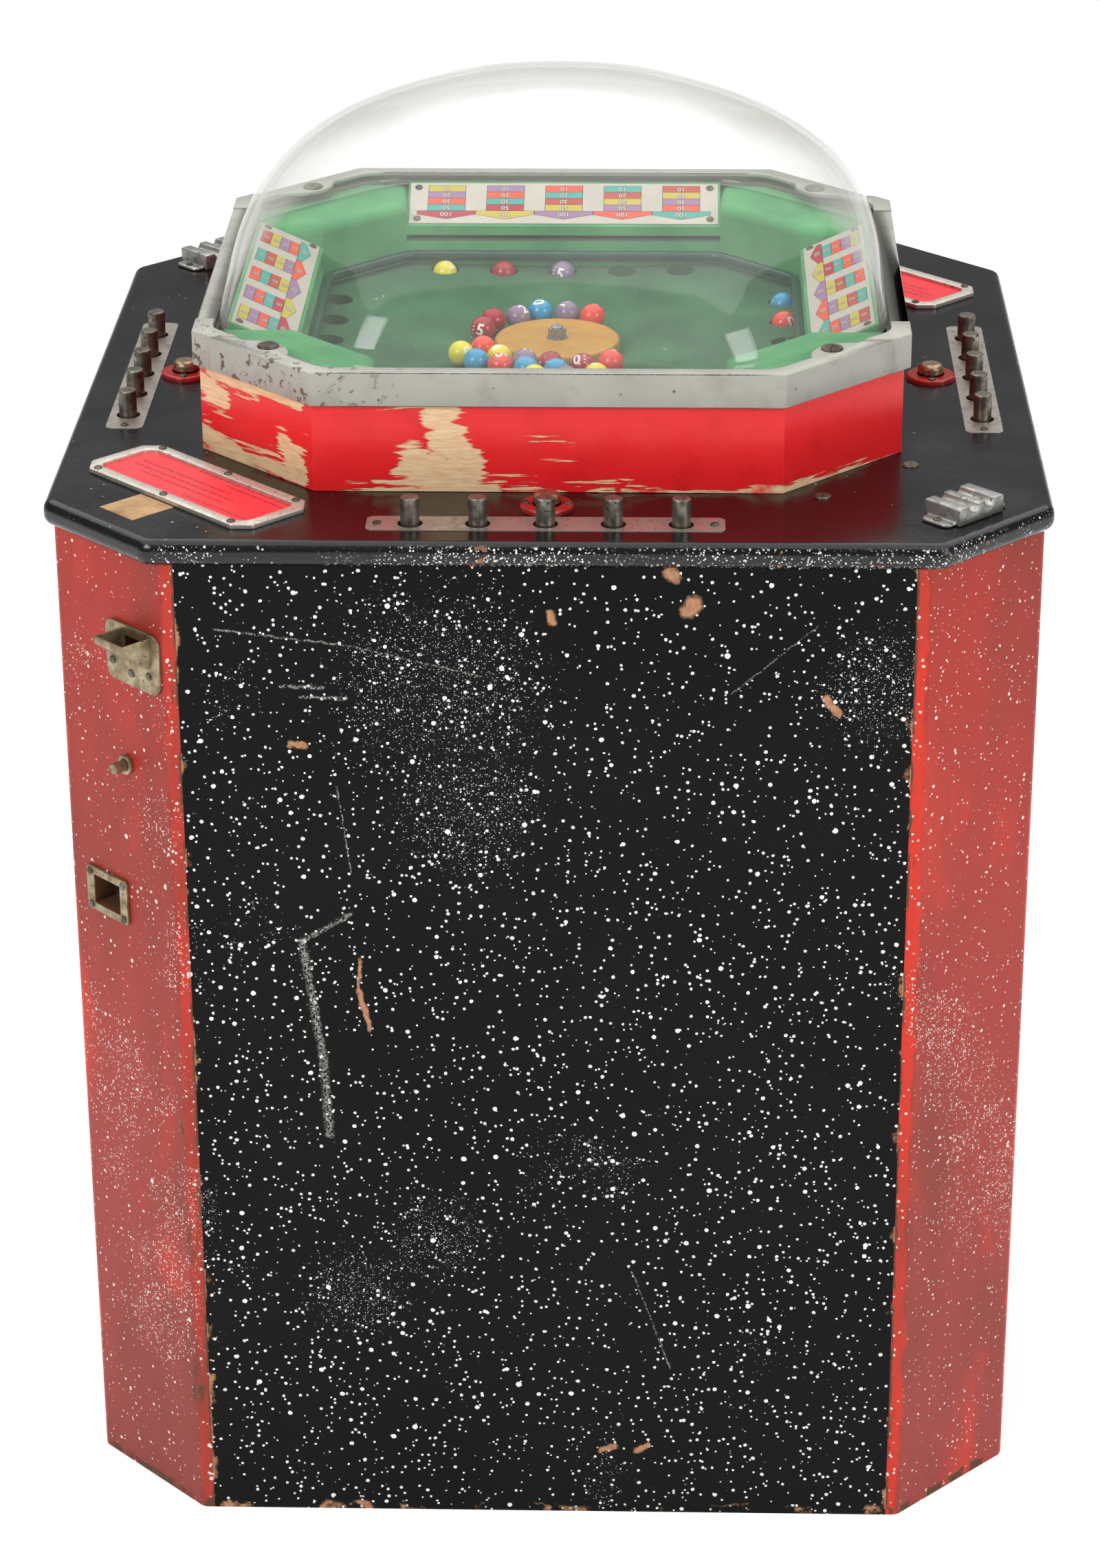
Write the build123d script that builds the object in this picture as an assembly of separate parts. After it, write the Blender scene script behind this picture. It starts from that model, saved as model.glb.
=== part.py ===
from build123d import *
from math import atan, cos, degrees, radians, sin, sqrt
import os

# Free-standing four-player ball game with a clear bubble top. Millimetres, +Z up.
# The origin is at the middle of the footprint, on the floor. The coin corner is at front left (-X, -Y).
# Everything on one side is drawn as for the front, where "out" is the distance from the middle towards
# the player (y = -out), and is then turned to the other sides.

# ---- cabinet ----
BODY_HALF = 380.0          # half the width across the flat panels
BODY_LEG = 93.0            # leg of the corner chamfer
BODY_HEIGHT = 840.0
PANEL_THICK = 18.0
CORNER_RETURN = 9.0        # how far a corner panel laps past its bend on to the flat side
CORNER_ROUND = 10.0        # rounding of the corner panels' upright edges
BASE_THICK = 18.0

# ---- rear door ----
DOOR_GAP = 2.0             # gap at both upright edges and under the top board
DOOR_FOOT_GAP = 3.0
HINGE_HEIGHT = 75.0
HINGE_LEAF = 0.9           # leaf thickness, two leaves and their play fit in DOOR_GAP
HINGE_LEAF_DEPTH = 16.0
HINGE_PIN_R = 1.4
HINGE_KNUCKLE_R = 2.8
HINGE_STAND_OFF = 3.1      # pin axis behind the rear face
HINGE_PLAY = 0.06          # radial play of the pin in the door's knuckle
HINGE_END_GAP = 0.5
HINGE_FROM_END = 160.0     # lower edge of the low hinge, upper edge of the high one, from the cabinet's ends
LOCK_FROM_EDGE = 36.0      # lock axis from the door's free edge
LOCK_HEIGHT = 430.0
LOCK_R = 9.0
LOCK_PLAY = 0.08
LOCK_PROUD = 2.0
CAM_REACH = 52.0
CAM_WIDTH = 16.0
CAM_THICK = 3.0
CAM_BEHIND = 15.0          # cam's near face from the door's inner face

# ---- top board ----
TOP_OVERHANG = 6.0         # beyond the flat panels
TOP_LEG = 87.0
TOP_THICK = 20.0
NOSING_R = 8.0
TOP_CORNER_R = 14.0
WELL_OPENING_HALF = 256.0  # central opening in the top board
WELL_OPENING_LEG = 116.0

# ---- button row, the same on all four sides ----
BUTTONS = 5
PITCH = 51.0               # buttons, pockets and score columns share it
BUTTON_OUT = 343.5
BUTTON_R = 7.25
BUTTON_PROUD = 22.0
PLATE_LENGTH = 270.0
PLATE_WIDTH = 30.0
PLATE_THICK = 3.5
PLATE_INLAY = 3.0
PLATE_ROUND = 6.0
PLATE_SCREW_FROM_END = 8.0
BUTTON_PLAY = 2.3          # radial play of a button in its plate hole

# ---- keys ----
PIVOT_OUT = 246.0
PIVOT_BELOW_TOP = 12.0     # pivot axis below the top board's upper face
ROD_R = 3.0
ROD_PLAY = 0.08
HUB_R = 6.0
KEY_THICK = 6.0
KEY_WIDTH = 10.0
FINGER_R = 2.5
KEY_SIDE_PLAY = 3.5
SLOT_ROOF = 7.0            # wood left over the key slots
FINGER_UNDER_FLOOR = 1.9   # finger tip below the pocket floor at rest

# ---- spin buttons ----
SPIN_OUT = 308.0
SPIN_R = 10.5
SPIN_CAP = 7.5
SPIN_STEM_R = 4.0
SPIN_TRAVEL = 4.5
SPIN_PLAY = 0.8
SPIN_FLANGE_R = 20.3
SPIN_FLANGE_THICK = 4.0

# ---- plinth, dome frame and dome ----
PLINTH_HALF = 275.0
PLINTH_LEG = 95.0
PLINTH_THICK = 13.0
PLINTH_HEIGHT = 89.0
PLINTH_SEAM = 158.0        # joint between a straight board and a corner board, from the middle
LEDGE_THICK = 10.0
LEDGE_INNER_HALF = 200.0
LEDGE_INNER_LEG = 100.0
FRAME_HALF = 279.0
FRAME_LEG = 98.0
FRAME_WALL = 3.5
FRAME_DROP = 27.0          # height of the frame's upright leg
FRAME_LIP_HALF = 265.0     # inner edge of the frame's top
FRAME_LIP_LEG = 92.0
FRAME_BOSS_OUT = 326.0     # centre of the screw boss, along the diagonal
FRAME_BOSS_R = 30.0
FRAME_SCREW_OUT = 307.0
FRAME_SIDE_LAP = 14.0      # side rails lap this far round the bend
CAP_THICK = 1.2
CAP_LENGTH = 30.0
DOME_HALF = 264.0
DOME_LEG = 111.0
DOME_RISE = 166.0
DOME_WALL = 5.0
DOME_FLANGE = 4.5
DOME_POWER = 1.8           # 2 is an ellipse; less is a more pointed bubble
DOME_FOOT_ROUND = 60.0

# ---- playfield well ----
WELL_HALF = 203.0
WELL_LEG = 67.0
FIELD_CENTRE_THICK = 8.0
FIELD_SLOPE = 0.0688       # rise per length of the dished field
POCKET_OUT = 188.0
POCKET_R = 12.25
POCKET_FLOOR = 9.0         # wood left under a pocket
FINGER_SLOT_WIDTH = 7.0
FINGER_SLOT_IN = 4.5
FINGER_SLOT_OUT = 8.0
BLOCKS_IN = 172.0          # inner edge of the blocks that hold one pocket each
WALL_THICK = 12.0
WALL_HEIGHT = 43.0
SHADOW_GAP = 6.0           # between the wall and the score board over it
SCORE_THICK = 8.0
SCORE_OVER_PLINTH = 2.0    # upper edge of the score boards above the plinth
SCORE_END = 257.0
CORNER_HEIGHT = 76.0
CORNER_TOP_ROUND = 8.0
CARD_THICK = 0.8
CARD_LENGTH = 268.0
CARD_MARGIN = 3.0
BUMPER_R = 4.2
BUMPER_HEIGHT = 42.3       # axis above the top board
BUMPER_BEND_R = 22.0

# ---- disc, spindle, motor ----
DISC_R = 51.5
DISC_THICK = 9.0
DISC_GAP = 3.4             # under the disc, at its rim
DISC_ROUND = 3.0
SPINDLE_R = 5.0
SPINDLE_PLAY = 0.08
WASHER_R = 9.0
WASHER_THICK = 1.5
NUT_R = 7.4
NUT_THICK = 6.0
STRAP_THICK = 6.0
STRAP_WIDTH = 40.0
STRAP_LAND = 24.0          # length of each end that lies against the top board
MOTOR_R = 45.0
MOTOR_LENGTH = 64.0

# ---- balls ----
BALL_R = 10.5
BALL_LIFT_GAP = 0.3
# Loose balls as they lie round the disc: angle from +X in degrees, distance from the middle.
LOOSE_BALLS = [
    (160, 66), (141, 70), (122, 64), (103, 70), (84, 65), (64, 64), (205, 66), (211, 90), (226, 92),
    (228, 68), (240, 88), (248, 66), (255, 88), (267, 68), (271, 90), (287, 78), (305, 79), (262, 110),
    (275, 112), (288, 110)]

# ---- instruction frames, label and cigarette rests (distances along the diagonals) ----
INSTR_OUT = 383.0
INSTR_LENGTH = 196.0
INSTR_WIDTH = 74.0
INSTR_BORDER = 10.0
INSTR_THICK = 4.0
INSTR_CLIP = 12.0
CARD_RED_THICK = 1.2
LABEL_OUT = 441.0
LABEL_SIZE = 40.0
LABEL_THICK = 0.4
REST_OUT = 446.0
REST_LENGTH = 54.0
REST_WIDTH = 36.0
REST_EAR = 8.0
REST_BASE = 3.0
REST_HEIGHT = 14.0
GROOVE_R = 5.0

# ---- coin fittings on the front left corner (along = across the chamfered face, below = under the cabinet's
# upper edge) ----
ENTRY_ALONG = 29.0
ENTRY_BELOW = 85.0
ENTRY_WIDTH = 64.0
ENTRY_HEIGHT = 49.0
ENTRY_THICK = 3.0
ENTRY_ROUND = 9.0
SCOOP_ALONG = 33.0
SCOOP_WIDTH = 34.0
SCOOP_OUT = 25.0
SCOOP_HEIGHT = 26.0
SCOOP_LIP = 6.0
SCOOP_WALL = 1.6
SCOOP_TOP_BELOW = 64.0
COIN_HOLE_WIDTH = 24.0
COIN_HOLE_HEIGHT = 16.0
COIN_BUTTON_ALONG = 13.0
COIN_BUTTON_BELOW = 180.0
COIN_BUTTON_R = 4.5
COIN_BUTTON_PROUD = 15.0
COIN_BUTTON_TRAVEL = 6.0
COIN_BUTTON_TAIL = 22.0    # length inside the corner panel
COIN_BUTTON_PLAY = 0.3
BUSH_R = 8.0
BUSH_THICK = 4.0
RETURN_ALONG = -19.0
RETURN_BELOW = 303.0
RETURN_WIDTH = 51.0
RETURN_HEIGHT = 38.0
RETURN_THICK = 3.0
RETURN_HOLE_WIDTH = 33.0
RETURN_HOLE_HEIGHT = 25.0
CUP_DEPTH = 40.0
CUP_WALL = 1.5
MECH_ALONG = 20.0
MECH_WIDTH = 70.0
MECH_DEPTH = 60.0
MECH_HEIGHT = 150.0
CASH_SIZE = 160.0
CASH_HEIGHT = 110.0
CASH_WALL = 2.0

# ---- small hardware ----
SCREW_R = 3.2
SCREW_RISE = 1.5
SCREW_SLOT = 0.9
BIG_SCREW_R = 8.5
GLAND_Z = 70.0
GLAND_BORE_R = 4.5
GLAND_NECK_R = 7.0
GLAND_HEAD_R = 11.0
GLAND_HEAD = 6.0

# ---- levels and offsets that follow from the sizes above ----
TOP_HALF = BODY_HALF + TOP_OVERHANG
TOP_Z = BODY_HEIGHT + TOP_THICK
PIVOT_Z = TOP_Z - PIVOT_BELOW_TOP
ENTRY_Z = BODY_HEIGHT - ENTRY_BELOW
SCOOP_TOP_Z = BODY_HEIGHT - SCOOP_TOP_BELOW
COIN_BUTTON_Z = BODY_HEIGHT - COIN_BUTTON_BELOW
RETURN_Z = BODY_HEIGHT - RETURN_BELOW
FIELD_Z = TOP_Z + LEDGE_THICK
FIELD_CENTRE_Z = FIELD_Z + FIELD_CENTRE_THICK
POCKET_Z = FIELD_Z + POCKET_FLOOR
PLINTH_TOP_Z = TOP_Z + PLINTH_HEIGHT
FRAME_TOP_Z = PLINTH_TOP_Z + DOME_FLANGE + FRAME_WALL
WALL_TOP_Z = FIELD_Z + WALL_HEIGHT
SCORE_LOW_Z = WALL_TOP_Z + SHADOW_GAP + SCORE_THICK
SCORE_RISE = PLINTH_TOP_Z + SCORE_OVER_PLINTH - SCORE_LOW_Z
DISC_Z = FIELD_CENTRE_Z + FIELD_SLOPE * DISC_R + DISC_GAP
STRAP_Z = BODY_HEIGHT - STRAP_THICK
PLATE_TOP_Z = TOP_Z + PLATE_THICK - PLATE_INLAY
DIAG = sqrt(2.0)
CHAMFER_OUT = (2 * BODY_HALF - BODY_LEG) / DIAG
PANEL_SEAM = BODY_HALF - BODY_LEG - CORNER_RETURN
BUTTON_ALONG = [(i - (BUTTONS - 1) / 2) * PITCH for i in range(BUTTONS)]
SIDES = ["front", "right", "rear", "left"]
POCKETED = {("rear", 5): "yellow", ("rear", 4): "crimson", ("rear", 3): "mauve",
            ("right", 5): "blue", ("right", 4): "coral"}


def inset_leg(leg, depth):
    """Chamfer leg of an octagon after its outline moves inwards by depth."""
    return leg - depth * (2 - DIAG)


def octagon(half, leg):
    a = half - leg
    return Polygon((a, -half), (half, -a), (half, a), (a, half), (-a, half), (-half, a), (-half, -a),
                   (-a, -half), align=None)


def raised(sketch, z0, z1):
    return Pos(0, 0, z0) * extrude(sketch, z1 - z0, dir=(0, 0, 1))


def octagon_ring(half, leg, thick, z0, z1):
    outer = raised(octagon(half, leg), z0, z1)
    return outer - raised(octagon(half - thick, inset_leg(leg, thick)), z0, z1)


def block(x0, x1, y0, y1, z0, z1):
    return Pos((x0 + x1) / 2, (y0 + y1) / 2, (z0 + z1) / 2) * Box(x1 - x0, y1 - y0, z1 - z0)


def front_block(along0, along1, out0, out1, z0, z1):
    return block(along0, along1, -out1, -out0, z0, z1)


def post(x, y, z0, z1, radius):
    return Pos(x, y, (z0 + z1) / 2) * Cylinder(radius, z1 - z0)


def pin_out(along, out0, out1, z, radius):
    """A round bar that points outwards, at right angles to the front."""
    return Pos(along, -(out0 + out1) / 2, z) * Rot(90, 0, 0) * Cylinder(radius, out1 - out0)


def pin_along(out, z, along0, along1, radius):
    return Pos((along0 + along1) / 2, -out, z) * Rot(0, 90, 0) * Cylinder(radius, along1 - along0)


def side_profile(points, along0, along1):
    """A solid of constant section along the front. Points are (out, z)."""
    outline = Polygon(*[(-out, z) for out, z in points], align=None)
    solid = extrude(Plane.YZ * outline, along1 - along0, dir=(1, 0, 0))
    return Pos(along0, 0, 0) * solid


def turn(shape, side):
    return Rot(0, 0, 90 * side) * shape


def corner(shape, k):
    """Turn a front piece to a corner: 0 front left, 1 front right, 2 rear right, 3 rear left."""
    return Rot(0, 0, 90 * k - 45) * shape


def all_sides(shape):
    return [turn(shape, k) for k in range(4)]


def all_corners(shape):
    return [corner(shape, k) for k in range(4)]


def rounded_plate(length, width, radius, z0, z1):
    return raised(RectangleRounded(length, width, radius), z0, z1)


def screw_head(radius=SCREW_R, rise=SCREW_RISE):
    """A domed slotted head that stands on z = 0."""
    head = Cylinder(radius, rise, align=(Align.CENTER, Align.CENTER, Align.MIN))
    head = fillet(head.edges().sort_by(Axis.Z)[-1], rise * 0.8)
    return head - Pos(0, 0, rise) * Rot(0, 0, 35) * Box(2 * radius + 1, SCREW_SLOT, rise)


NODES = {}


def save(name, *shapes):
    NODES[name] = [solid for shape in shapes for solid in shape.solids()]


# ---- cabinet ----
def split_ring(ring, seam, out_from, out_to, z0, z1):
    """Cut an octagonal ring at the seams: four straight boards and four corner boards."""
    cutter = front_block(-seam, seam, out_from, out_to, z0, z1)
    corners = ring
    for piece in all_sides(cutter):
        corners -= piece
    return [ring & piece for piece in all_sides(cutter)], corners.solids()


def corner_of(solids, sign_x, sign_y):
    return [s for s in solids if s.center().X * sign_x > 0 and s.center().Y * sign_y > 0][0]


def on_coin_corner(shape):
    return corner(shape, 0)


def coin_corner_cuts():
    far = CHAMFER_OUT + 1
    near = CHAMFER_OUT - PANEL_THICK - 1
    entry = front_block(SCOOP_ALONG - COIN_HOLE_WIDTH / 2, SCOOP_ALONG + COIN_HOLE_WIDTH / 2, near, far,
                        ENTRY_Z, ENTRY_Z + COIN_HOLE_HEIGHT)
    back = front_block(RETURN_ALONG - RETURN_HOLE_WIDTH / 2, RETURN_ALONG + RETURN_HOLE_WIDTH / 2, near, far,
                       RETURN_Z - RETURN_HOLE_HEIGHT / 2, RETURN_Z + RETURN_HOLE_HEIGHT / 2)
    button = pin_out(COIN_BUTTON_ALONG, near, far, COIN_BUTTON_Z, COIN_BUTTON_R + COIN_BUTTON_PLAY)
    return [on_coin_corner(c) for c in (entry, back, button)]


def make_cabinet():
    ring = octagon_ring(BODY_HALF, BODY_LEG, PANEL_THICK, 0, BODY_HEIGHT)
    straights, corners = split_ring(ring, PANEL_SEAM, BODY_HALF - PANEL_THICK - 1, BODY_HALF + 1,
                                    -1, BODY_HEIGHT + 1)
    front, right, _, left = straights
    save("side_panels", front, right, left)
    rounded = []
    for panel in corners:
        bends = panel.edges().filter_by(Axis.Z).sort_by(lambda e: -Vector(e.center().X, e.center().Y).length)
        rounded.append(panel.fillet(CORNER_ROUND, bends[:2]))
    coin_panel = corner_of(rounded, -1, -1)
    for cut in coin_corner_cuts():
        coin_panel -= cut
    save("coin_corner_panel", coin_panel)
    gland_panel = corner_of(rounded, 1, 1)
    hole = pin_out(0, CHAMFER_OUT - PANEL_THICK - 1, CHAMFER_OUT + 1, GLAND_Z, GLAND_NECK_R)
    save("corner_panels", corner_of(rounded, 1, -1), gland_panel - corner(hole, 2), corner_of(rounded, -1, 1))
    inner_half = BODY_HALF - PANEL_THICK
    base = raised(octagon(inner_half, inset_leg(BODY_LEG, PANEL_THICK)), 0, BASE_THICK)
    behind_door = block(-BODY_HALF, BODY_HALF, inner_half - DOOR_GAP, BODY_HALF, -1, BASE_THICK + 1)
    save("base_board", base - behind_door)


def make_cord_gland():
    inner = CHAMFER_OUT - PANEL_THICK
    gland = pin_out(0, inner, CHAMFER_OUT, GLAND_Z, GLAND_NECK_R)
    head = pin_out(0, CHAMFER_OUT, CHAMFER_OUT + GLAND_HEAD, GLAND_Z, GLAND_HEAD_R)
    gland += fillet(head.edges().filter_by(GeomType.CIRCLE), 1.5)
    gland -= pin_out(0, inner - 1, CHAMFER_OUT + GLAND_HEAD + 1, GLAND_Z, GLAND_BORE_R)
    save("cord_gland", corner(gland, 2))


# ---- rear door ----
def hinge_levels():
    low = HINGE_FROM_END
    return [low, BODY_HEIGHT - HINGE_FROM_END - HINGE_HEIGHT]


def hinge_leaf(x0, x1, spans, bore_r, z0):
    """A leaf in the door gap with knuckles over the given spans of its height."""
    rear = BODY_HALF
    axis_x = PANEL_SEAM - DOOR_GAP / 2
    axis_y = rear + HINGE_STAND_OFF
    free_y = axis_y - HINGE_KNUCKLE_R - HINGE_END_GAP
    leaf = block(x0, x1, rear - HINGE_LEAF_DEPTH, free_y, z0, z0 + HINGE_HEIGHT)
    for low, high in spans:
        leaf += block(x0, x1, free_y, axis_y, z0 + low, z0 + high)
        leaf += post(axis_x, axis_y, z0 + low, z0 + high, HINGE_KNUCKLE_R)
    return leaf - post(axis_x, axis_y, z0 - 1, z0 + HINGE_HEIGHT + 1, bore_r)


def make_rear_door():
    half = PANEL_SEAM - DOOR_GAP
    inner = BODY_HALF - PANEL_THICK
    lock_x = LOCK_FROM_EDGE - half
    door = block(-half, half, inner, BODY_HALF, DOOR_FOOT_GAP, BODY_HEIGHT - DOOR_GAP)
    door -= Pos(lock_x, BODY_HALF, LOCK_HEIGHT) * Rot(90, 0, 0) * Cylinder(LOCK_R + LOCK_PLAY, 3 * PANEL_THICK)
    third = HINGE_HEIGHT / 3
    door_span = [(third + HINGE_END_GAP, 2 * third - HINGE_END_GAP)]
    fixed_spans = [(0, third), (2 * third, HINGE_HEIGHT)]
    door_leaves = []
    fixed = []
    for z0 in hinge_levels():
        door_leaves.append(hinge_leaf(half, half + HINGE_LEAF, door_span, HINGE_PIN_R + HINGE_PLAY, z0))
        leaf = hinge_leaf(PANEL_SEAM - HINGE_LEAF, PANEL_SEAM, fixed_spans, HINGE_PIN_R, z0)
        pin = post(PANEL_SEAM - DOOR_GAP / 2, BODY_HALF + HINGE_STAND_OFF, z0, z0 + HINGE_HEIGHT, HINGE_PIN_R)
        fixed.append(leaf + pin)
    save("rear_door", door, *door_leaves)
    save("door_hinges", *fixed)

    cam_y = inner - CAM_BEHIND
    barrel_length = BODY_HALF + LOCK_PROUD - cam_y + CAM_THICK
    barrel = Pos(lock_x, BODY_HALF + LOCK_PROUD - barrel_length / 2, LOCK_HEIGHT) * Rot(90, 0, 0) * Cylinder(
        LOCK_R, barrel_length)
    cam = block(lock_x - CAM_WIDTH / 2, lock_x + CAM_WIDTH / 2, cam_y - CAM_THICK, cam_y,
                LOCK_HEIGHT - CAM_REACH, LOCK_HEIGHT)
    keyway = block(lock_x - 1, lock_x + 1, BODY_HALF, BODY_HALF + LOCK_PROUD + 1, LOCK_HEIGHT - 4,
                   LOCK_HEIGHT + 4)
    save("door_lock", barrel + cam - keyway)


# ---- top board ----
def key_slot(along):
    half_width = KEY_WIDTH / 2 + KEY_SIDE_PLAY
    slot = front_block(along - half_width, along + half_width, WELL_OPENING_HALF - 1,
                       BUTTON_OUT + BUTTON_R + KEY_SIDE_PLAY, BODY_HEIGHT - 1, TOP_Z - SLOT_ROOF)
    return slot + post(along, -BUTTON_OUT, BODY_HEIGHT - 1, TOP_Z, BUTTON_R + BUTTON_PLAY + 0.5)


def plate_outline():
    return RectangleRounded(PLATE_LENGTH, PLATE_WIDTH, PLATE_ROUND)


def make_top_board():
    board = raised(octagon(TOP_HALF, TOP_LEG), BODY_HEIGHT, TOP_Z)
    board = fillet(board.edges().filter_by(Axis.Z), TOP_CORNER_R)
    board = fillet(board.faces().sort_by(Axis.Z)[-1].edges() + board.faces().sort_by(Axis.Z)[0].edges(), NOSING_R)
    board -= raised(octagon(WELL_OPENING_HALF, WELL_OPENING_LEG), BODY_HEIGHT - 1, TOP_Z + 1)
    cuts = [key_slot(along) for along in BUTTON_ALONG]
    cuts.append(raised(Pos(0, -BUTTON_OUT) * plate_outline(), TOP_Z - PLATE_INLAY, TOP_Z + 1))
    cuts.append(post(0, -SPIN_OUT, BODY_HEIGHT, TOP_Z + 1, SPIN_STEM_R + SPIN_PLAY))
    for k in range(4):
        for cut in cuts:
            board -= turn(cut, k)
    save("top_board", board)


def make_button_plates():
    plate = raised(Pos(0, -BUTTON_OUT) * plate_outline(), TOP_Z - PLATE_INLAY, PLATE_TOP_Z)
    for along in BUTTON_ALONG:
        plate -= post(along, -BUTTON_OUT, TOP_Z - PLATE_INLAY - 1, PLATE_TOP_Z + 1, BUTTON_R + BUTTON_PLAY)
    save("button_plates", *all_sides(plate))


# ---- keys ----
def make_key(along):
    half_width = KEY_WIDTH / 2
    low = PIVOT_Z - KEY_THICK / 2
    high = PIVOT_Z + KEY_THICK / 2
    key = front_block(along - half_width, along + half_width, POCKET_OUT - FINGER_R, BUTTON_OUT, low, high)
    key += pin_along(PIVOT_OUT, PIVOT_Z, along - half_width, along + half_width, HUB_R)
    button = post(along, -BUTTON_OUT, low, TOP_Z + BUTTON_PROUD, BUTTON_R)
    button = fillet(button.edges().sort_by(Axis.Z)[-1], 1.5)
    key += button
    key += post(along, -POCKET_OUT, low, POCKET_Z - FINGER_UNDER_FLOOR, FINGER_R)
    return key - pin_along(PIVOT_OUT, PIVOT_Z, along - KEY_WIDTH, along + KEY_WIDTH, ROD_R + ROD_PLAY)


def make_keys():
    for side, name in enumerate(SIDES):
        for number, along in enumerate(BUTTON_ALONG, start=1):
            save(f"key_{name}_{number}", turn(make_key(along), side))


def make_pivot_rods():
    reach = BUTTON_ALONG[-1] + KEY_WIDTH / 2 + 2 * KEY_SIDE_PLAY
    foot = 12.0
    rod = pin_along(PIVOT_OUT, PIVOT_Z, -reach - foot, reach + foot, ROD_R)
    pieces = []
    for sign in (-1, 1):
        near, far = sorted((sign * (reach + 3), sign * (reach + foot)))
        bracket = front_block(near, far, PIVOT_OUT - 8, PIVOT_OUT + 8, BODY_HEIGHT - 5, PIVOT_Z + 7)
        bracket += front_block(near, far, PIVOT_OUT - 8, WELL_OPENING_HALF + 34, BODY_HEIGHT - 5, BODY_HEIGHT)
        pieces.append(bracket - pin_along(PIVOT_OUT, PIVOT_Z, near - 1, far + 1, ROD_R))
    save("key_pivot_rods", *[s for piece in [rod] + pieces for s in all_sides(piece)])


# ---- spin buttons ----
def make_spin_buttons():
    low = TOP_Z + SPIN_TRAVEL + 1
    cap = post(0, -SPIN_OUT, low, low + SPIN_CAP, SPIN_R)
    cap = fillet(cap.edges().sort_by(Axis.Z)[-1], SPIN_CAP * 0.6)
    stem = post(0, -SPIN_OUT, TOP_Z - SLOT_ROOF + SPIN_TRAVEL + 1, low, SPIN_STEM_R)
    for side, name in enumerate(SIDES):
        save(f"spin_button_{name}", turn(cap + stem, side))
    flange = post(0, -SPIN_OUT, TOP_Z, TOP_Z + SPIN_FLANGE_THICK, SPIN_FLANGE_R)
    flange = fillet(flange.edges().sort_by(Axis.Z)[-1], 2.0)
    flange -= post(0, -SPIN_OUT, TOP_Z - 1, TOP_Z + SPIN_FLANGE_THICK + 1, SPIN_R + SPIN_PLAY)
    save("spin_button_flanges", *all_sides(flange))


# ---- plinth, dome frame, dome ----
def make_plinth():
    ring = octagon_ring(PLINTH_HALF, PLINTH_LEG, PLINTH_THICK, TOP_Z, PLINTH_TOP_Z)
    straights, corners = split_ring(ring, PLINTH_SEAM, PLINTH_HALF - PLINTH_THICK - 1, PLINTH_HALF + 1,
                                    TOP_Z - 1, PLINTH_TOP_Z + 1)
    inner = PLINTH_HALF - PLINTH_THICK
    ledge = raised(octagon(inner, inset_leg(PLINTH_LEG, PLINTH_THICK)), TOP_Z, FIELD_Z)
    ledge -= raised(octagon(LEDGE_INNER_HALF, LEDGE_INNER_LEG), TOP_Z - 1, FIELD_Z + 1)
    save("plinth", ledge, *straights, *corners)


def frame_lip():
    """Opening in the top of the dome frame: an octagon with a boss for a screw in each corner."""
    lip = fillet(octagon(FRAME_LIP_HALF, FRAME_LIP_LEG).vertices(), 24.0)
    for k in range(4):
        lip -= Rot(0, 0, 90 * k - 45) * Pos(0, -FRAME_BOSS_OUT) * Circle(FRAME_BOSS_R)
    return lip


def make_dome_frame():
    low = FRAME_TOP_Z - FRAME_DROP
    under = FRAME_TOP_Z - FRAME_WALL
    body = raised(octagon(FRAME_HALF, FRAME_LEG), low, FRAME_TOP_Z)
    room = octagon(FRAME_HALF - FRAME_WALL, inset_leg(FRAME_LEG, FRAME_WALL))
    ring = body - raised(room, low - 1, under) - raised(frame_lip(), under - 1, FRAME_TOP_Z + 1)
    reach = FRAME_HALF + 1
    side_half = FRAME_HALF - FRAME_LEG + FRAME_SIDE_LAP
    front_rail = front_block(-PLINTH_SEAM, PLINTH_SEAM, WELL_HALF, reach, low - 1, FRAME_TOP_Z + 1)
    side_rail = turn(front_block(-side_half, side_half, WELL_HALF + 15, reach, low - 1, FRAME_TOP_Z + 1), 1)
    cutters = [front_rail, turn(front_rail, 2), side_rail, turn(side_rail, 2)]
    castings = ring
    for cutter in cutters:
        castings -= cutter
    rails = [ring & cutter for cutter in cutters]

    cap_ring = raised(octagon(FRAME_HALF + CAP_THICK, inset_leg(FRAME_LEG, -CAP_THICK)), low,
                      FRAME_TOP_Z + CAP_THICK)
    cap_ring -= raised(octagon(FRAME_HALF, FRAME_LEG), low - 1, FRAME_TOP_Z)
    cap_ring -= raised(frame_lip(), FRAME_TOP_Z - 1, FRAME_TOP_Z + 2 * CAP_THICK)
    bend = FRAME_HALF - FRAME_LEG
    caps = []
    for sign_x in (-1, 1):
        for sign_y in (-1, 1):
            xs = sorted((sign_x * (WELL_HALF + 40), sign_x * (reach + 1)))
            ys = sorted((sign_y * (bend - CAP_LENGTH), sign_y * side_half))
            caps.append(cap_ring & block(*xs, *ys, low - 1, FRAME_TOP_Z + 5))
    save("dome_frame", *rails, castings, *caps)


def dome_outline(half, leg, radius):
    sketch = octagon(half, leg)
    return fillet(sketch.vertices(), radius)


def bubble(half, leg, rise):
    """Blown bubble: it starts as the rounded octagon of its foot and ends nearly round at the crown."""
    sections = []
    for t in (0.0, 0.12, 0.26, 0.42, 0.58, 0.72, 0.84, 0.93, 0.98, 0.997):
        width = half * (1 - t ** DOME_POWER) ** (1 / DOME_POWER)
        blend = t ** 0.7
        round_leg = width * ((leg / half) * (1 - blend) + 0.5858 * blend)
        radius = width * ((DOME_FOOT_ROUND / half) * (1 - blend) + 0.95 * blend)
        sections.append(Pos(0, 0, PLINTH_TOP_Z + rise * t) * dome_outline(width, round_leg, radius))
    return loft(sections)


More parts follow.
